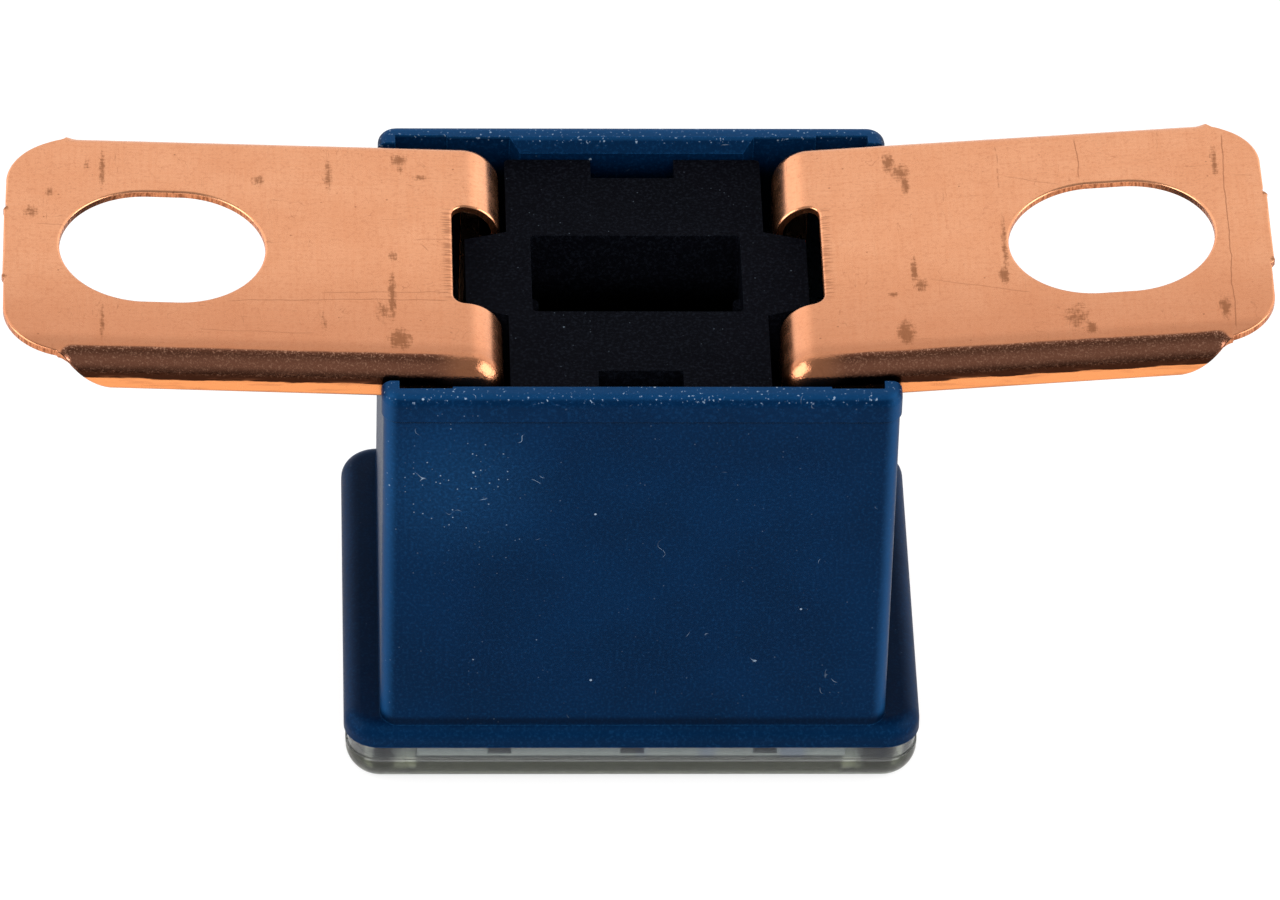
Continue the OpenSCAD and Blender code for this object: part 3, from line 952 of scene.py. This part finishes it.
@dataclass
class Batches:
    """Points of the sheet, stored in batches before they are bent to shape."""

    stores: tuple[list, ...] = ()
    count: int = 0

    def add(self, g: np.ndarray, w: np.ndarray, n: np.ndarray, out: np.ndarray,
            turn: float) -> np.ndarray:
        """Stores a batch of points.

        Args:
            g: Places along the path.
            w: Places across it.
            n: Depths below the top face.
            out: The way out of the sheet at each point.
            turn: How far the normals lean that way, in radians.

        Returns:
            The points' numbers.
        """
        self.stores += ((g, w, n, out[:, 0], out[:, 1], np.full(len(g), turn)),)
        first, self.count = self.count, self.count + len(g)
        return first + np.arange(len(g))

    def stacked(self) -> list[np.ndarray]:
        """Returns each measure of all the points."""
        return [np.concatenate(column) for column in zip(*self.stores)]


@dataclass(frozen=True)
class LipEnd:
    """The end of a folded lip by the tab: where its curve starts, and its torn corner's points."""

    start_in: float
    start_up: float
    lead_in: float
    torn: tuple[Point, ...] = ()


@dataclass(frozen=True)
class Half:
    """The sizes in which the element's two halves differ."""

    side: Side
    lift: float
    tie: float
    nib: float
    leg_face: float
    corner_r: float
    lip_setback: float


@dataclass
class CopperElement:
    """The one-piece folded copper element, made as a flat blank that is bent round its path.

    The blank is measured from the middle of the link: g runs along the path, w across it and n
    down into the sheet from the face that ends up on top of the terminals.
    """

    left: Half = Half(Side.LEFT, math.radians(1.85), 0.045, 0.03, 5.14, 2.75, 2.05)
    right: Half = Half(Side.RIGHT, math.radians(4.6), 0.12, 0.025, 5.36, 2.5, 1.7)
    sheet: float = 0.3
    shoulder_r: float = 1.5
    terminal_z: float = 19.55
    heel_r: float = 1.2
    link_z: float = 4.6
    leg_lip_z: float = 10.75
    leg_taper: float = 3.2
    channel_half: float = 6.8
    fold_r: float = 1.0
    rear_fold_r: float = 0.7
    lip_h: float = 1.45
    lip_corner_r: float = 1.35
    tab_end_x: float = 24.02
    tab_half: float = 6.45
    tie_half: float = 2.1
    slot_x: float = 18.0
    slot_half_w: float = 3.3
    slot_half_l: float = 3.9
    opening_x: float = 7.01
    opening_half: float = 2.9
    opening_z: float = 14.2
    opening_r: float = 0.5
    link_half: float = 2.0
    link_end: float = 1.5
    neck_half: float = 0.6
    pad_r: float = 1.7
    hole_r: float = 0.6
    wide_roll: float = 0.14
    fine_roll: float = 0.05
    roll_depth: float = 0.55
    burr_edge: float = 0.03
    tie_start: float = 0.7
    tear_reach: float = 0.6
    lip_opens: Point = (0.15, 0.8)
    front_end: LipEnd = LipEnd(0.05, 0.0, 0.45)
    rear_end: LipEnd = LipEnd(0.5, 0.22, 0.7, ((0.12, 0.0), (0.2, 0.14), (0.3, 0.18), (0.42, 0.2)))

    def __post_init__(self) -> None:
        """Works out the lengths that both halves share."""
        self.halves = (self.left, self.right)
        self.centre_z = self.terminal_z - self.shoulder_r
        self.heel_z = self.link_z + self.heel_r
        self.heel_mid = self.heel_r - self.sheet / 2

    def fold_at(self, w: np.ndarray | float) -> np.ndarray:
        """Returns the radius of the fold on the side of each point: the back one is tighter."""
        return np.where(np.asarray(w) > 0, self.rear_fold_r, self.fold_r)

    def flat_at(self, w: np.ndarray | float) -> np.ndarray:
        """Returns how far the flat part reaches on the side of each point."""
        return self.channel_half - self.fold_at(w)

    def lip_at(self, w: np.ndarray | float) -> np.ndarray:
        """Returns how far the blank reaches on the side of each point."""
        return self.channel_half + self.lip_h + self.fold_at(w) * (RIGHT_ANGLE - 2)

    def centre_x(self, half: Half) -> float:
        """Returns X of the shoulder's centre."""
        return half.leg_face + self.shoulder_r

    def heel_x(self, half: Half) -> float:
        """Returns X of the heel's centre, which is g there too."""
        return half.leg_face + self.sheet - self.heel_r

    def heel_end(self, half: Half) -> float:
        """Returns g where the heel meets the leg."""
        return self.heel_x(half) + self.heel_mid * RIGHT_ANGLE

    def leg_end(self, half: Half) -> float:
        """Returns g where the leg meets the shoulder."""
        return self.heel_end(half) + self.centre_z - self.heel_z

    def lip_start(self, half: Half) -> float:
        """Returns g where the leg's lips begin."""
        return self.heel_end(half) + self.leg_lip_z - self.heel_z

    def bend_end(self, half: Half) -> float:
        """Returns g where the shoulder meets the terminal."""
        return self.leg_end(half) + self.shoulder_r * (RIGHT_ANGLE - half.lift)

    def tab_end(self, half: Half) -> float:
        """Returns g at the terminal's end."""
        reach = (self.tab_end_x - self.centre_x(half)) / math.cos(half.lift)
        return self.bend_end(half) + reach

    def on_terminal(self, half: Half, x: float) -> float:
        """Returns g of the place on the terminal's top face that stands at x."""
        run = x - self.centre_x(half) + self.shoulder_r * math.sin(half.lift)
        return self.bend_end(half) + run / math.cos(half.lift)

    def pick(self, g: np.ndarray, measure: Callable[[Half], float]) -> np.ndarray:
        """Returns a size of the half that each point is in."""
        return np.where(g < 0, measure(self.left), measure(self.right))

    def folded(self, g: np.ndarray, w: np.ndarray) -> np.ndarray:
        """Works out how far the folds turn the sheet.

        Args:
            g: Places along the path.
            w: Places across it.

        Returns:
            The angles, in radians.
        """
        gap, reach = self.lip_opens
        start = self.pick(g, lambda half: self.tab_end(half) - half.lip_setback + gap)
        opened = np.clip((start - np.abs(g)) / reach, 0, 1)
        share = opened * opened * (3 - 2 * opened)
        return share * np.clip((np.abs(w) - self.flat_at(w)) / self.fold_at(w), 0, RIGHT_ANGLE)

    def roll_at(self, points: np.ndarray) -> np.ndarray:
        """Works out how wide the sheet's top edge is rolled over.

        Args:
            points: Places on the blank.

        Returns:
            The widths: wide on the terminals, fine on the legs and at torn places.
        """
        g, w = points[:, 0], np.abs(points[:, 1])
        width = np.where(np.abs(g) > self.pick(g, self.leg_end), self.wide_roll, self.fine_roll)
        end = self.pick(g, self.tab_end)
        setback = self.pick(g, lambda half: half.lip_setback)
        for from_end, across, reach in ((0.0, self.tie_half, self.tie_start),
                                        (setback + 0.3, self.tab_half, self.tear_reach)):
            off = np.hypot(end - from_end - np.abs(g), w - across)
            share = np.clip(off / reach - 0.4, 0, 1)
            width = np.minimum(width, self.fine_roll + (self.wide_roll - self.fine_roll) * share)
        return width

    def bend_across(self, g: np.ndarray, w: np.ndarray,
                    n: np.ndarray) -> tuple[np.ndarray, np.ndarray]:
        """Folds the blank's lips.

        Args:
            g: Places along the path.
            w: Places across it.
            n: Depths below the top face.

        Returns:
            Place across, and depth below the top face's plane.
        """
        flat = self.flat_at(w)
        beyond = np.maximum(np.abs(w) - flat, 0)
        arc = np.minimum(beyond, self.fold_at(w) * RIGHT_ANGLE)
        turn = np.maximum(self.folded(g, w), 1e-9)
        across = arc * np.sin(turn) / turn + (beyond - arc) * np.cos(turn)
        down = arc * (1 - np.cos(turn)) / turn + (beyond - arc) * np.sin(turn)
        y = np.sign(w) * (np.minimum(np.abs(w), flat) + across - n * np.sin(turn))
        return y, down + n * np.cos(turn)

    def place(self, g: np.ndarray, w: np.ndarray, n: np.ndarray) -> np.ndarray:
        """Bends the blank round its path.

        Args:
            g: Places along the path.
            w: Places across it.
            n: Depths below the top face.

        Returns:
            The points, in millimetres.
        """
        y, depth = self.bend_across(g, w, n)
        along = np.abs(g)
        sign = np.where(g < 0, -1.0, 1.0)
        lift = self.pick(g, lambda half: half.lift)
        leg_end = self.pick(g, self.leg_end)
        heel_end = self.pick(g, self.heel_end)
        heel_x = self.pick(g, self.heel_x)
        ray = self.shoulder_r - depth
        turn = np.clip((along - leg_end) / self.shoulder_r, 0, RIGHT_ANGLE - lift)
        angle = RIGHT_ANGLE - turn
        run = np.maximum(along - self.pick(g, self.bend_end), 0)
        x = self.pick(g, self.centre_x) - ray * np.sin(angle) + run * np.cos(lift)
        z = self.centre_z + ray * np.cos(angle) + run * np.sin(lift)
        z = z - np.maximum(leg_end - np.maximum(along, heel_end), 0)
        heel_ray = self.heel_r - self.sheet + depth
        heel = np.clip((heel_end - along) / self.heel_mid, 0, RIGHT_ANGLE)
        low = along < heel_end
        rest = np.maximum(heel_x - along, 0)
        x = np.where(low, heel_x + heel_ray * np.cos(heel) - rest, x)
        z = np.where(low, self.heel_z - heel_ray * np.sin(heel), z)
        return np.stack([sign * x, y, z], axis=1)

    def edge_half(self, half: Half, front: bool) -> list[Point]:
        """Draws a quarter of the blank's outline, from the tab's end to the middle of the link.

        Args:
            half: Which half.
            front: Whether it is the edge nearer the viewer.

        Returns:
            Points with g and w positive.
        """
        end, tie, nib = self.tab_end(half), half.tie, half.nib
        w_side = -1.0 if front else 1.0
        flat_half, lip_w = float(self.flat_at(w_side)), float(self.lip_at(w_side))
        points = [(end + tie, 0.0), (end + tie, self.tie_half - 0.25),
                  (end + tie + nib, self.tie_half - 0.12), (end + tie * 0.6, self.tie_half),
                  (end - 0.04, self.tie_half + 0.1), (end, self.tie_half + 0.3)]
        r, lip_end = half.corner_r, self.front_end if front else self.rear_end
        stop = math.degrees(math.acos((r - half.lip_setback) / r))
        points += arc(end - r, self.tab_half - r, r, 4, stop, 18)
        edge = end - half.lip_setback
        points += [(edge - inward, self.tab_half + up) for inward, up in lip_end.torn]
        start_w = self.tab_half + lip_end.start_up
        points += spline(((edge - lip_end.start_in, start_w),
                          (edge - lip_end.lead_in, start_w + 0.02),
                          (edge - 0.95, lip_w - 0.12), (edge - 2.05, lip_w)), 18)
        lip_start, link_end = self.lip_start(half), self.heel_x(half) - self.link_end
        r = self.lip_corner_r
        points += arc(lip_start + r, lip_w - r, r, 90, 180, 10)
        points += [(lip_start, flat_half), (lip_start - self.leg_taper, self.link_half),
                   (link_end, self.link_half), (link_end, self.neck_half)]
        meet = math.degrees(math.asin(self.neck_half / self.pad_r))
        return points + arc(0, 0, self.pad_r, meet, 90, 10)

    def quarter(self, half: Half, front: bool) -> list[Point]:
        """Returns a quarter of the outline in its own signs."""
        w_sign = -1 if front else 1
        return [(g * half.side.value, w * w_sign) for g, w in self.edge_half(half, front)]

    def outline(self) -> list[Point]:
        """Draws the whole outline of the blank.

        Returns:
            Its points, once round.
        """
        back = self.quarter(self.right, False) + self.quarter(self.left, False)[::-1][1:]
        return (back + self.quarter(self.left, True)[1:]
                + self.quarter(self.right, True)[::-1][1:-1])

    def slot_loop(self, half: Half) -> list[Point]:
        """Draws a stud slot.

        Args:
            half: Which half it is in.

        Returns:
            Its points, once round.
        """
        shift = self.slot_half_l - self.slot_half_w
        loop = []
        for angle in np.linspace(0, 2 * math.pi, 97)[:-1]:
            middle = self.slot_x + math.copysign(shift, math.cos(angle))
            g = self.on_terminal(half, middle + self.slot_half_w * math.cos(angle))
            loop.append((half.side.value * g, self.slot_half_w * math.sin(angle)))
        return loop

    def opening_loop(self, half: Half) -> list[Point]:
        """Draws the opening that the spacer's wing stands in.

        Args:
            half: Which half it is in.

        Returns:
            Its points, once round.
        """
        r = self.opening_r
        high = self.on_terminal(half, self.opening_x) - r
        low = self.leg_end(half) - (self.centre_z - self.opening_z) + r
        wide = self.opening_half - r
        corners = ((high, wide), (low, wide), (low, -wide), (high, -wide))
        loop = [point for k, (g, w) in enumerate(corners)
                for point in arc(g, w, r, 90 * k, 90 * k + 90, 7)]
        return [(g * half.side.value, w) for g, w in loop]

    def hole_loop(self) -> list[Point]:
        """Returns the outline of the hole for the tin rivet."""
        return arc(0, 0, self.hole_r, 0, 345, 23)

    def rulings(self) -> list[tuple[Point, Point]]:
        """Draws the lines on the blank that carry its bends.

        Returns:
            The lines.
        """
        lines = []
        wide = float(self.lip_at(1.0)) + 1
        for half in self.halves:
            s, start = half.side.value, self.lip_start(half) - 1
            lip_end = self.tab_end(half) - half.lip_setback
            for k in range(FOLD_STEPS + 1):
                for sign in (-1, 1):
                    turn = RIGHT_ANGLE * k / FOLD_STEPS
                    w = sign * float(self.flat_at(sign) + self.fold_at(sign) * turn)
                    lines.append(((s * start, w), (s * (lip_end + 0.2), w)))
            bends = (np.linspace(self.leg_end(half), self.bend_end(half), 19),
                     np.linspace(self.heel_x(half), self.heel_end(half), 9))
            for g in np.concatenate(bends):
                lines.append(((s * g, -wide), (s * g, wide)))
            for g in np.linspace(lip_end - 2.1, lip_end, 15):
                for sign in (-1, 1):
                    lines.append(((s * g, sign * (float(self.flat_at(sign)) - 0.02)),
                                  (s * g, sign * wide)))
        return lines

    @staticmethod
    def outward(loop: np.ndarray) -> np.ndarray:
        """Finds the way out of the sheet at each point of a loop with the sheet on its left.

        Args:
            loop: The points, once round.

        Returns:
            A mitred outward vector for each point.
        """
        ahead = unit(np.roll(loop, -1, axis=0) - loop)
        out = np.stack([ahead[:, 1], -ahead[:, 0]], axis=1)
        both = unit(out + np.roll(out, 1, axis=0))
        return both / np.maximum((both * out).sum(axis=1, keepdims=True), MITRE)

    def inset(self, loop: list[Point], is_hole: bool) -> list[Point]:
        """Moves a loop into the sheet by the width of its rolled edge.

        Args:
            loop: The points, once round.
            is_hole: Whether the sheet is outside the loop.

        Returns:
            The moved points, with the sheet on their left.
        """
        points = np.array(loop)
        after = np.roll(points, -1, axis=0)
        area = np.sum(points[:, 0] * after[:, 1] - points[:, 1] * after[:, 0])
        if (area > 0) == is_hole:
            points = points[::-1]
        rolled = self.outward(points) * self.roll_at(points)[:, None]
        return [tuple(p) for p in points - rolled]

    @staticmethod
    def within(spots: np.ndarray, loops: list[list[Point]]) -> np.ndarray:
        """Finds which places are on the sheet, by counting the loops' edges to their left.

        Args:
            spots: The places.
            loops: The outline and the holes.

        Returns:
            A truth value for each place.
        """
        inside = np.zeros(len(spots), bool)
        for loop in loops:
            for p, q in zip(loop, loop[1:] + loop[:1]):
                cross = (p[1] > spots[:, 1]) != (q[1] > spots[:, 1])
                slope = (q[0] - p[0]) / (q[1] - p[1]) if q[1] != p[1] else 0.0
                inside ^= cross & (spots[:, 0] < p[0] + (spots[:, 1] - p[1]) * slope)
        return inside

    @staticmethod
    def borders(faces: list[tuple[int, ...]]) -> list[list[int]]:
        """Finds the loops of edges that have a triangle on one side only.

        Args:
            faces: The triangles.

        Returns:
            The numbers of each loop's points.
        """
        edges = {(f[i], f[(i + 1) % 3]) for f in faces for i in range(3)}
        after = {a: b for a, b in edges if (b, a) not in edges}
        loops = []
        while after:
            loop = [next(iter(after))]
            while loop[-1] in after:
                loop.append(after.pop(loop[-1]))
            loops.append(loop[:-1])
        return loops

    def triangulate(self) -> tuple[np.ndarray, list[tuple[int, ...]]]:
        """Fills the blank with triangles that follow its rulings.

        Returns:
            Points on the blank, and its triangles.
        """
        loops = [self.inset(self.outline(), False)]
        drawers = (self.slot_loop, self.opening_loop)
        holes = [draw(half) for half in self.halves for draw in drawers]
        loops += [self.inset(hole, True) for hole in holes + [self.hole_loop()]]
        points, edges = [], []
        for loop in loops:
            base = len(points)
            points += loop
            edges += [(base + i, base + (i + 1) % len(loop)) for i in range(len(loop))]
        for ruling in self.rulings():
            edges.append((len(points), len(points) + 1))
            points += ruling
        verts, _, faces, *_ = delaunay_2d_cdt([Vector(p) for p in points], edges, [], 0, NEAR)
        verts = np.array([tuple(v) for v in verts])
        middles = np.array([verts[list(face)].mean(axis=0) for face in faces])
        kept = []
        for face, is_in in zip(faces, self.within(middles, loops)):
            if is_in:
                p, q, r = (verts[i] for i in face)
                turn = (q[0] - p[0]) * (r[1] - p[1]) - (q[1] - p[1]) * (r[0] - p[0])
                kept.append(tuple(face) if turn > 0 else tuple(face)[::-1])
        used = sorted({i for face in kept for i in face})
        index = {old: new for new, old in enumerate(used)}
        return verts[used], [tuple(index[i] for i in face) for face in kept]

    def normals(self, g: np.ndarray, w: np.ndarray, n: np.ndarray, out_g: np.ndarray,
                out_w: np.ndarray, turn: np.ndarray) -> np.ndarray:
        """Works out the true normals of points on the bent sheet.

        Args:
            g: Places along the path.
            w: Places across it.
            n: Depths below the top face.
            out_g: The way out of the sheet, along the path.
            out_w: The way out of the sheet, across it.
            turn: How far the normal leans from the top face's to the way out, in radians.

        Returns:
            The unit normals.
        """
        along = unit(self.place(g + STEP, w, n) - self.place(g - STEP, w, n))
        across = unit(self.place(g, w + STEP, n) - self.place(g, w - STEP, n))
        top = unit(np.cross(along, across))
        out = unit(along * out_g[:, None] + across * out_w[:, None])
        return top * np.cos(turn)[:, None] + out * np.sin(turn)[:, None]

    def rim_rows(self) -> list[tuple[float, float, float, float, float]]:
        """Lists the rows of points round the sheet's edge, from its top face to its underside.

        Returns:
            For each row, how far out and how deep it is, each as a share of the rolled edge's
            width and a length to add, and how far its normal leans.
        """
        rows = []
        for a in np.radians([0, 22.5, 45, 67.5, 90]):
            lean = math.atan2(self.roll_depth * math.sin(a), max(math.cos(a), 0.0))
            rows.append((math.sin(a), 0.0, self.roll_depth * (1 - math.cos(a)), 0.0, lean))
        for a in np.radians([90, 135, 180]):
            rows.append((1.0, self.burr_edge * (math.sin(a) - 1), 0.0,
                         self.sheet - self.burr_edge * (1 + math.cos(a)), a))
        return rows

    def solid(self) -> tuple[list[np.ndarray], list[tuple], list[int]]:
        """Gives the blank its thickness: two faces, and a rounded rim along each border.

        Returns:
            The measures of its points, its faces, and the material slot of each.
        """
        blank, faces = self.triangulate()
        borders = self.borders(faces)
        count = len(blank)
        rim_out, on_rim, skew = np.zeros((count, 2)), np.zeros(count, bool), np.zeros(count)
        for loop in borders:
            rim_out[loop] = self.outward(blank[loop])
            on_rim[loop] = True
        for half in self.halves:
            far = on_rim & (blank[:, 0] * half.side.value > self.bend_end(half))
            skew[far] = -math.tan(half.lift) * half.side.value
        roll, level = self.roll_at(blank), np.zeros((count, 2))
        points = Batches()
        top = points.add(*blank.T, np.zeros(count), level, 0.0)
        outer = blank + rim_out * (roll - self.burr_edge)[:, None]
        under = points.add(outer[:, 0] + skew * self.sheet, outer[:, 1],
                           np.full(count, self.sheet), level, math.pi)
        made = [tuple(top[i] for i in face) for face in faces]
        made += [tuple(under[i] for i in face[::-1]) for face in faces]
        kinds = [Face.SHEET.value] * len(made)
        rows = self.rim_rows()
        for loop in borders:
            ids = np.array(loop)
            bases = [top[ids]]
            for out, out_more, deep, deep_more, turn in rows[1:-1]:
                depth = roll[ids] * deep + deep_more
                spot = blank[ids] + rim_out[ids] * (roll[ids] * out + out_more)[:, None]
                bases.append(points.add(spot[:, 0] + skew[ids] * depth, spot[:, 1], depth,
                                        rim_out[ids], turn))
            bases.append(under[ids])
            for k, (high, low) in enumerate(zip(bases, bases[1:])):
                kind = Face.CUT if k >= CUT_ROW else Face.SHEET
                made += zip(high, low, np.roll(low, -1), np.roll(high, -1))
                kinds += [kind.value] * len(ids)
        log.info("folded_copper: %d faces in %d loops", len(made), len(borders))
        return points.stacked(), made, kinds

    def build(self) -> bpy.types.Object:
        """Makes the whole element as one closed mesh with true normals.

        Returns:
            The object.
        """
        coords, faces, kinds = self.solid()
        points = self.place(*coords[:3])
        normals = self.normals(*coords)
        mesh = bpy.data.meshes.new("folded_copper")
        mesh.from_pydata([tuple(p * MM) for p in points], [],
                         [tuple(int(i) for i in face) for face in faces])
        mesh.polygons.foreach_set("use_smooth", [True] * len(mesh.polygons))
        mesh.polygons.foreach_set("material_index", kinds)
        self.fix_facing(mesh, normals)
        mesh.normals_split_custom_set_from_vertices([tuple(v) for v in normals])
        _, drop = self.bend_across(*coords[:3])
        for name, values in ((FOLD, self.folded(*coords[:2]) / RIGHT_ANGLE), (DROP, drop)):
            mesh.attributes.new(name, "FLOAT", "POINT").data.foreach_set("value", values)
        return link("folded_copper", mesh)

    @staticmethod
    def fix_facing(mesh: bpy.types.Mesh, normals: np.ndarray) -> None:
        """Turns the faces if they look into the sheet.

        Args:
            mesh: The mesh.
            normals: The true normals of its points.
        """
        agree = sum(Vector(normals[p.vertices[0]]).dot(p.normal) * p.area for p in mesh.polygons)
        if agree < 0:
            mesh.flip_normals()


@dataclass(frozen=True)
class Lamp:
    """A square soft box: its place and side in millimetres, and its brightness (1 is white)."""

    name: str
    at: Place
    side: float
    radiance: float
    mirrored: bool = True


@dataclass
class Studio:
    """The floor, the soft boxes and the camera."""

    lamps: tuple[Lamp, ...] = (
        Lamp("left_box", (-420.0, -70.0, 210.0), 380.0, 3.2),
        Lamp("right_box", (420.0, -70.0, 210.0), 380.0, 3.2),
        Lamp("front_fill", (0.0, -360.0, 340.0), 280.0, 5.0, mirrored=False))
    aim: Place = (0.0, 0.0, 10.0)
    camera_at: Place = (-15.0863, -322.4759, 279.8832)
    yaw: float = -2.73842
    elevation: float = 39.91031
    roll: float = 1.78069
    lens: float = 307.371
    floor_half: float = 900.0
    floor_gap: float = 0.02
    floor_share: float = 0.7
    floor_glow: float = 1.15
    paper: Colour = srgb(238, 238, 238)
    behind: float = 0.95
    behind_y: Point = (0.05, 0.45)
    rear_sides: float = 0.4
    rear_sides_x: Point = (0.2, 0.45)
    rear_sides_y: Point = (0.3, 0.6)
    beside: float = 0.6
    beside_x: Point = (0.55, 0.8)
    dim: float = 0.35
    sensor: float = 36.0
    clip_m: Point = (0.01, 10.0)

    def camera(self) -> None:
        """Sets up the camera."""
        yaw, el, roll = (math.radians(a) for a in (self.yaw, self.elevation, self.roll))
        back = Vector((math.sin(yaw) * math.cos(el), -math.cos(yaw) * math.cos(el), math.sin(el)))
        right = Vector((math.cos(yaw), math.sin(yaw), 0.0))
        up = back.cross(right)
        x_axis = right * math.cos(roll) + up * math.sin(roll)
        y_axis = up * math.cos(roll) - right * math.sin(roll)
        data = bpy.data.cameras.new("camera")
        data.sensor_width = self.sensor
        data.lens = self.lens
        data.clip_start, data.clip_end = self.clip_m
        made = link("camera", data)
        turned = Matrix((x_axis, y_axis, back)).transposed().to_4x4()
        made.matrix_world = Matrix.Translation(Vector(self.camera_at) * MM) @ turned
        bpy.context.scene.camera = made

    def light(self, lamp: Lamp) -> None:
        """Adds a soft box that looks at the object.

        Args:
            lamp: The soft box.
        """
        data = bpy.data.lights.new(lamp.name, "AREA")
        data.shape = "RECTANGLE"
        data.size = data.size_y = lamp.side * MM
        data.energy = lamp.radiance * math.pi * data.size * data.size_y
        made = link(lamp.name, data)
        made.location = Vector(lamp.at) * MM
        made.visible_glossy = lamp.mirrored
        aim = Vector(self.aim) * MM - made.location
        made.rotation_euler = aim.to_track_quat("-Z", "Y").to_euler()

    def floor(self) -> None:
        """Lays the pale floor, which keeps the object's shadow and is clear from underneath."""
        half = self.floor_half * MM
        mesh = bpy.data.meshes.new("floor")
        low = -self.floor_gap * MM
        corners = [(-half, -half, low), (half, -half, low), (half, half, low), (-half, half, low)]
        mesh.from_pydata(corners, [], [(0, 1, 2, 3)])
        made = link("floor", mesh)
        material, g = new_material("pale_floor")
        path = g.node("LightPath")
        seen = g.larger(path.outputs["Is Camera Ray"], path.outputs["Is Transmission Ray"])
        paper = g.shader("BsdfDiffuse", Color=self.paper)
        glow = g.shader("Emission", Color=WHITE, Strength=self.floor_glow)
        above = g.shader("MixShader", g.times(seen, self.floor_share), paper, glow)
        below = g.node("NewGeometry").outputs["Backfacing"]
        clear = g.shader("BsdfTransparent")
        g.output(g.shader("MixShader", below, above, clear))
        mesh.materials.append(material)

    def sky(self) -> None:
        """Sets the room's light: bright behind and at the sides, dim above and by the viewer."""
        world = bpy.data.worlds.new("room")
        bpy.context.scene.world = world
        world.use_nodes = True
        g = Graph(world.node_tree)
        way = g.vector("NORMALIZE", g.node("TexCoord").outputs["Generated"])
        x, y, _ = g.split(way)
        behind = g.ramp(y, *self.behind_y, 0.0, self.behind - self.dim)
        corners = g.around(x, *self.rear_sides_x, 0.0, self.rear_sides)
        behind = g.scaled(corners, g.ramp(y, *self.rear_sides_y), behind)
        beside = g.around(x, *self.beside_x, 0.0, self.beside - self.dim)
        level = g.plus(g.larger(behind, beside), self.dim)
        path = g.node("LightPath")
        level = g.larger(level, path.outputs["Is Camera Ray"])
        glow = g.shader("Background", Color=WHITE, Strength=level)
        g.output(glow, "OutputWorld")

    def build(self) -> None:
        """Sets up everything round the object."""
        self.camera()
        self.floor()
        self.sky()
        for lamp in self.lamps:
            self.light(lamp)
        bpy.context.scene.view_settings.view_transform = "Standard"


@dataclass
class Dresser:
    """Gives the carried-over nodes their finishes."""

    nodes: dict[str, bpy.types.Object]

    def dress(self, name: str, material: bpy.types.Material) -> None:
        """Puts a finish on a node.

        Args:
            name: The node.
            material: The finish.
        """
        piece = self.nodes[name]
        piece.data.materials.clear()
        piece.data.materials.append(material)
        log.info("%s: dressed as %s", name, material.name)


# the blue housing gets a painted shadow line under its rim band's step at 18.12 mm
BLUE = MouldedFinish(
    name="blue_moulding", colour=srgb(1, 29, 60), shade=srgb(1, 25, 53), edge=srgb(30, 88, 142),
    dust=srgb(170, 190, 210), roughness=0.36, gloss=0.05, gloss_tint=(0.4, 0.7, 1.0), step_shadow_z=18.12)
# the black block gets painted shade below 17 mm
BLACK = MouldedFinish(
    name="black_moulding", colour=srgb(4, 4, 8), shade=srgb(2, 2, 5), edge=srgb(22, 25, 32),
    dust=srgb(96, 108, 120), roughness=0.5, dust_patch=(0.0, 0.0, 18.6), dust_reach=16.0,
    dust_floor=18.3, shade_below=17.0, speckle=0.3, crowding=0.04, skin_share=0.5,
    threads=0.0, gloss=0.01)


def main() -> None:
    """Builds the pieces in order and reports each."""
    logging.basicConfig(level=logging.INFO, format="%(name)s: %(message)s")
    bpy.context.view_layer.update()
    Studio().build()
    dresser = Dresser(frame["nodes"])
    dresser.dress("housing", BLUE.build())
    dresser.dress("window_cover", ClearFinish().build())
    dresser.dress("tin_chip", TinFinish().build())
    dresser.dress("spacer_block", BLACK.build())
    copper = CopperElement().build()
    finish = CopperFinish()
    copper.data.materials.append(finish.build())
    copper.data.materials.append(finish.build_cut())
    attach(copper, BODY)
    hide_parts("fuse_element")


if __name__ == "__main__":
    main()
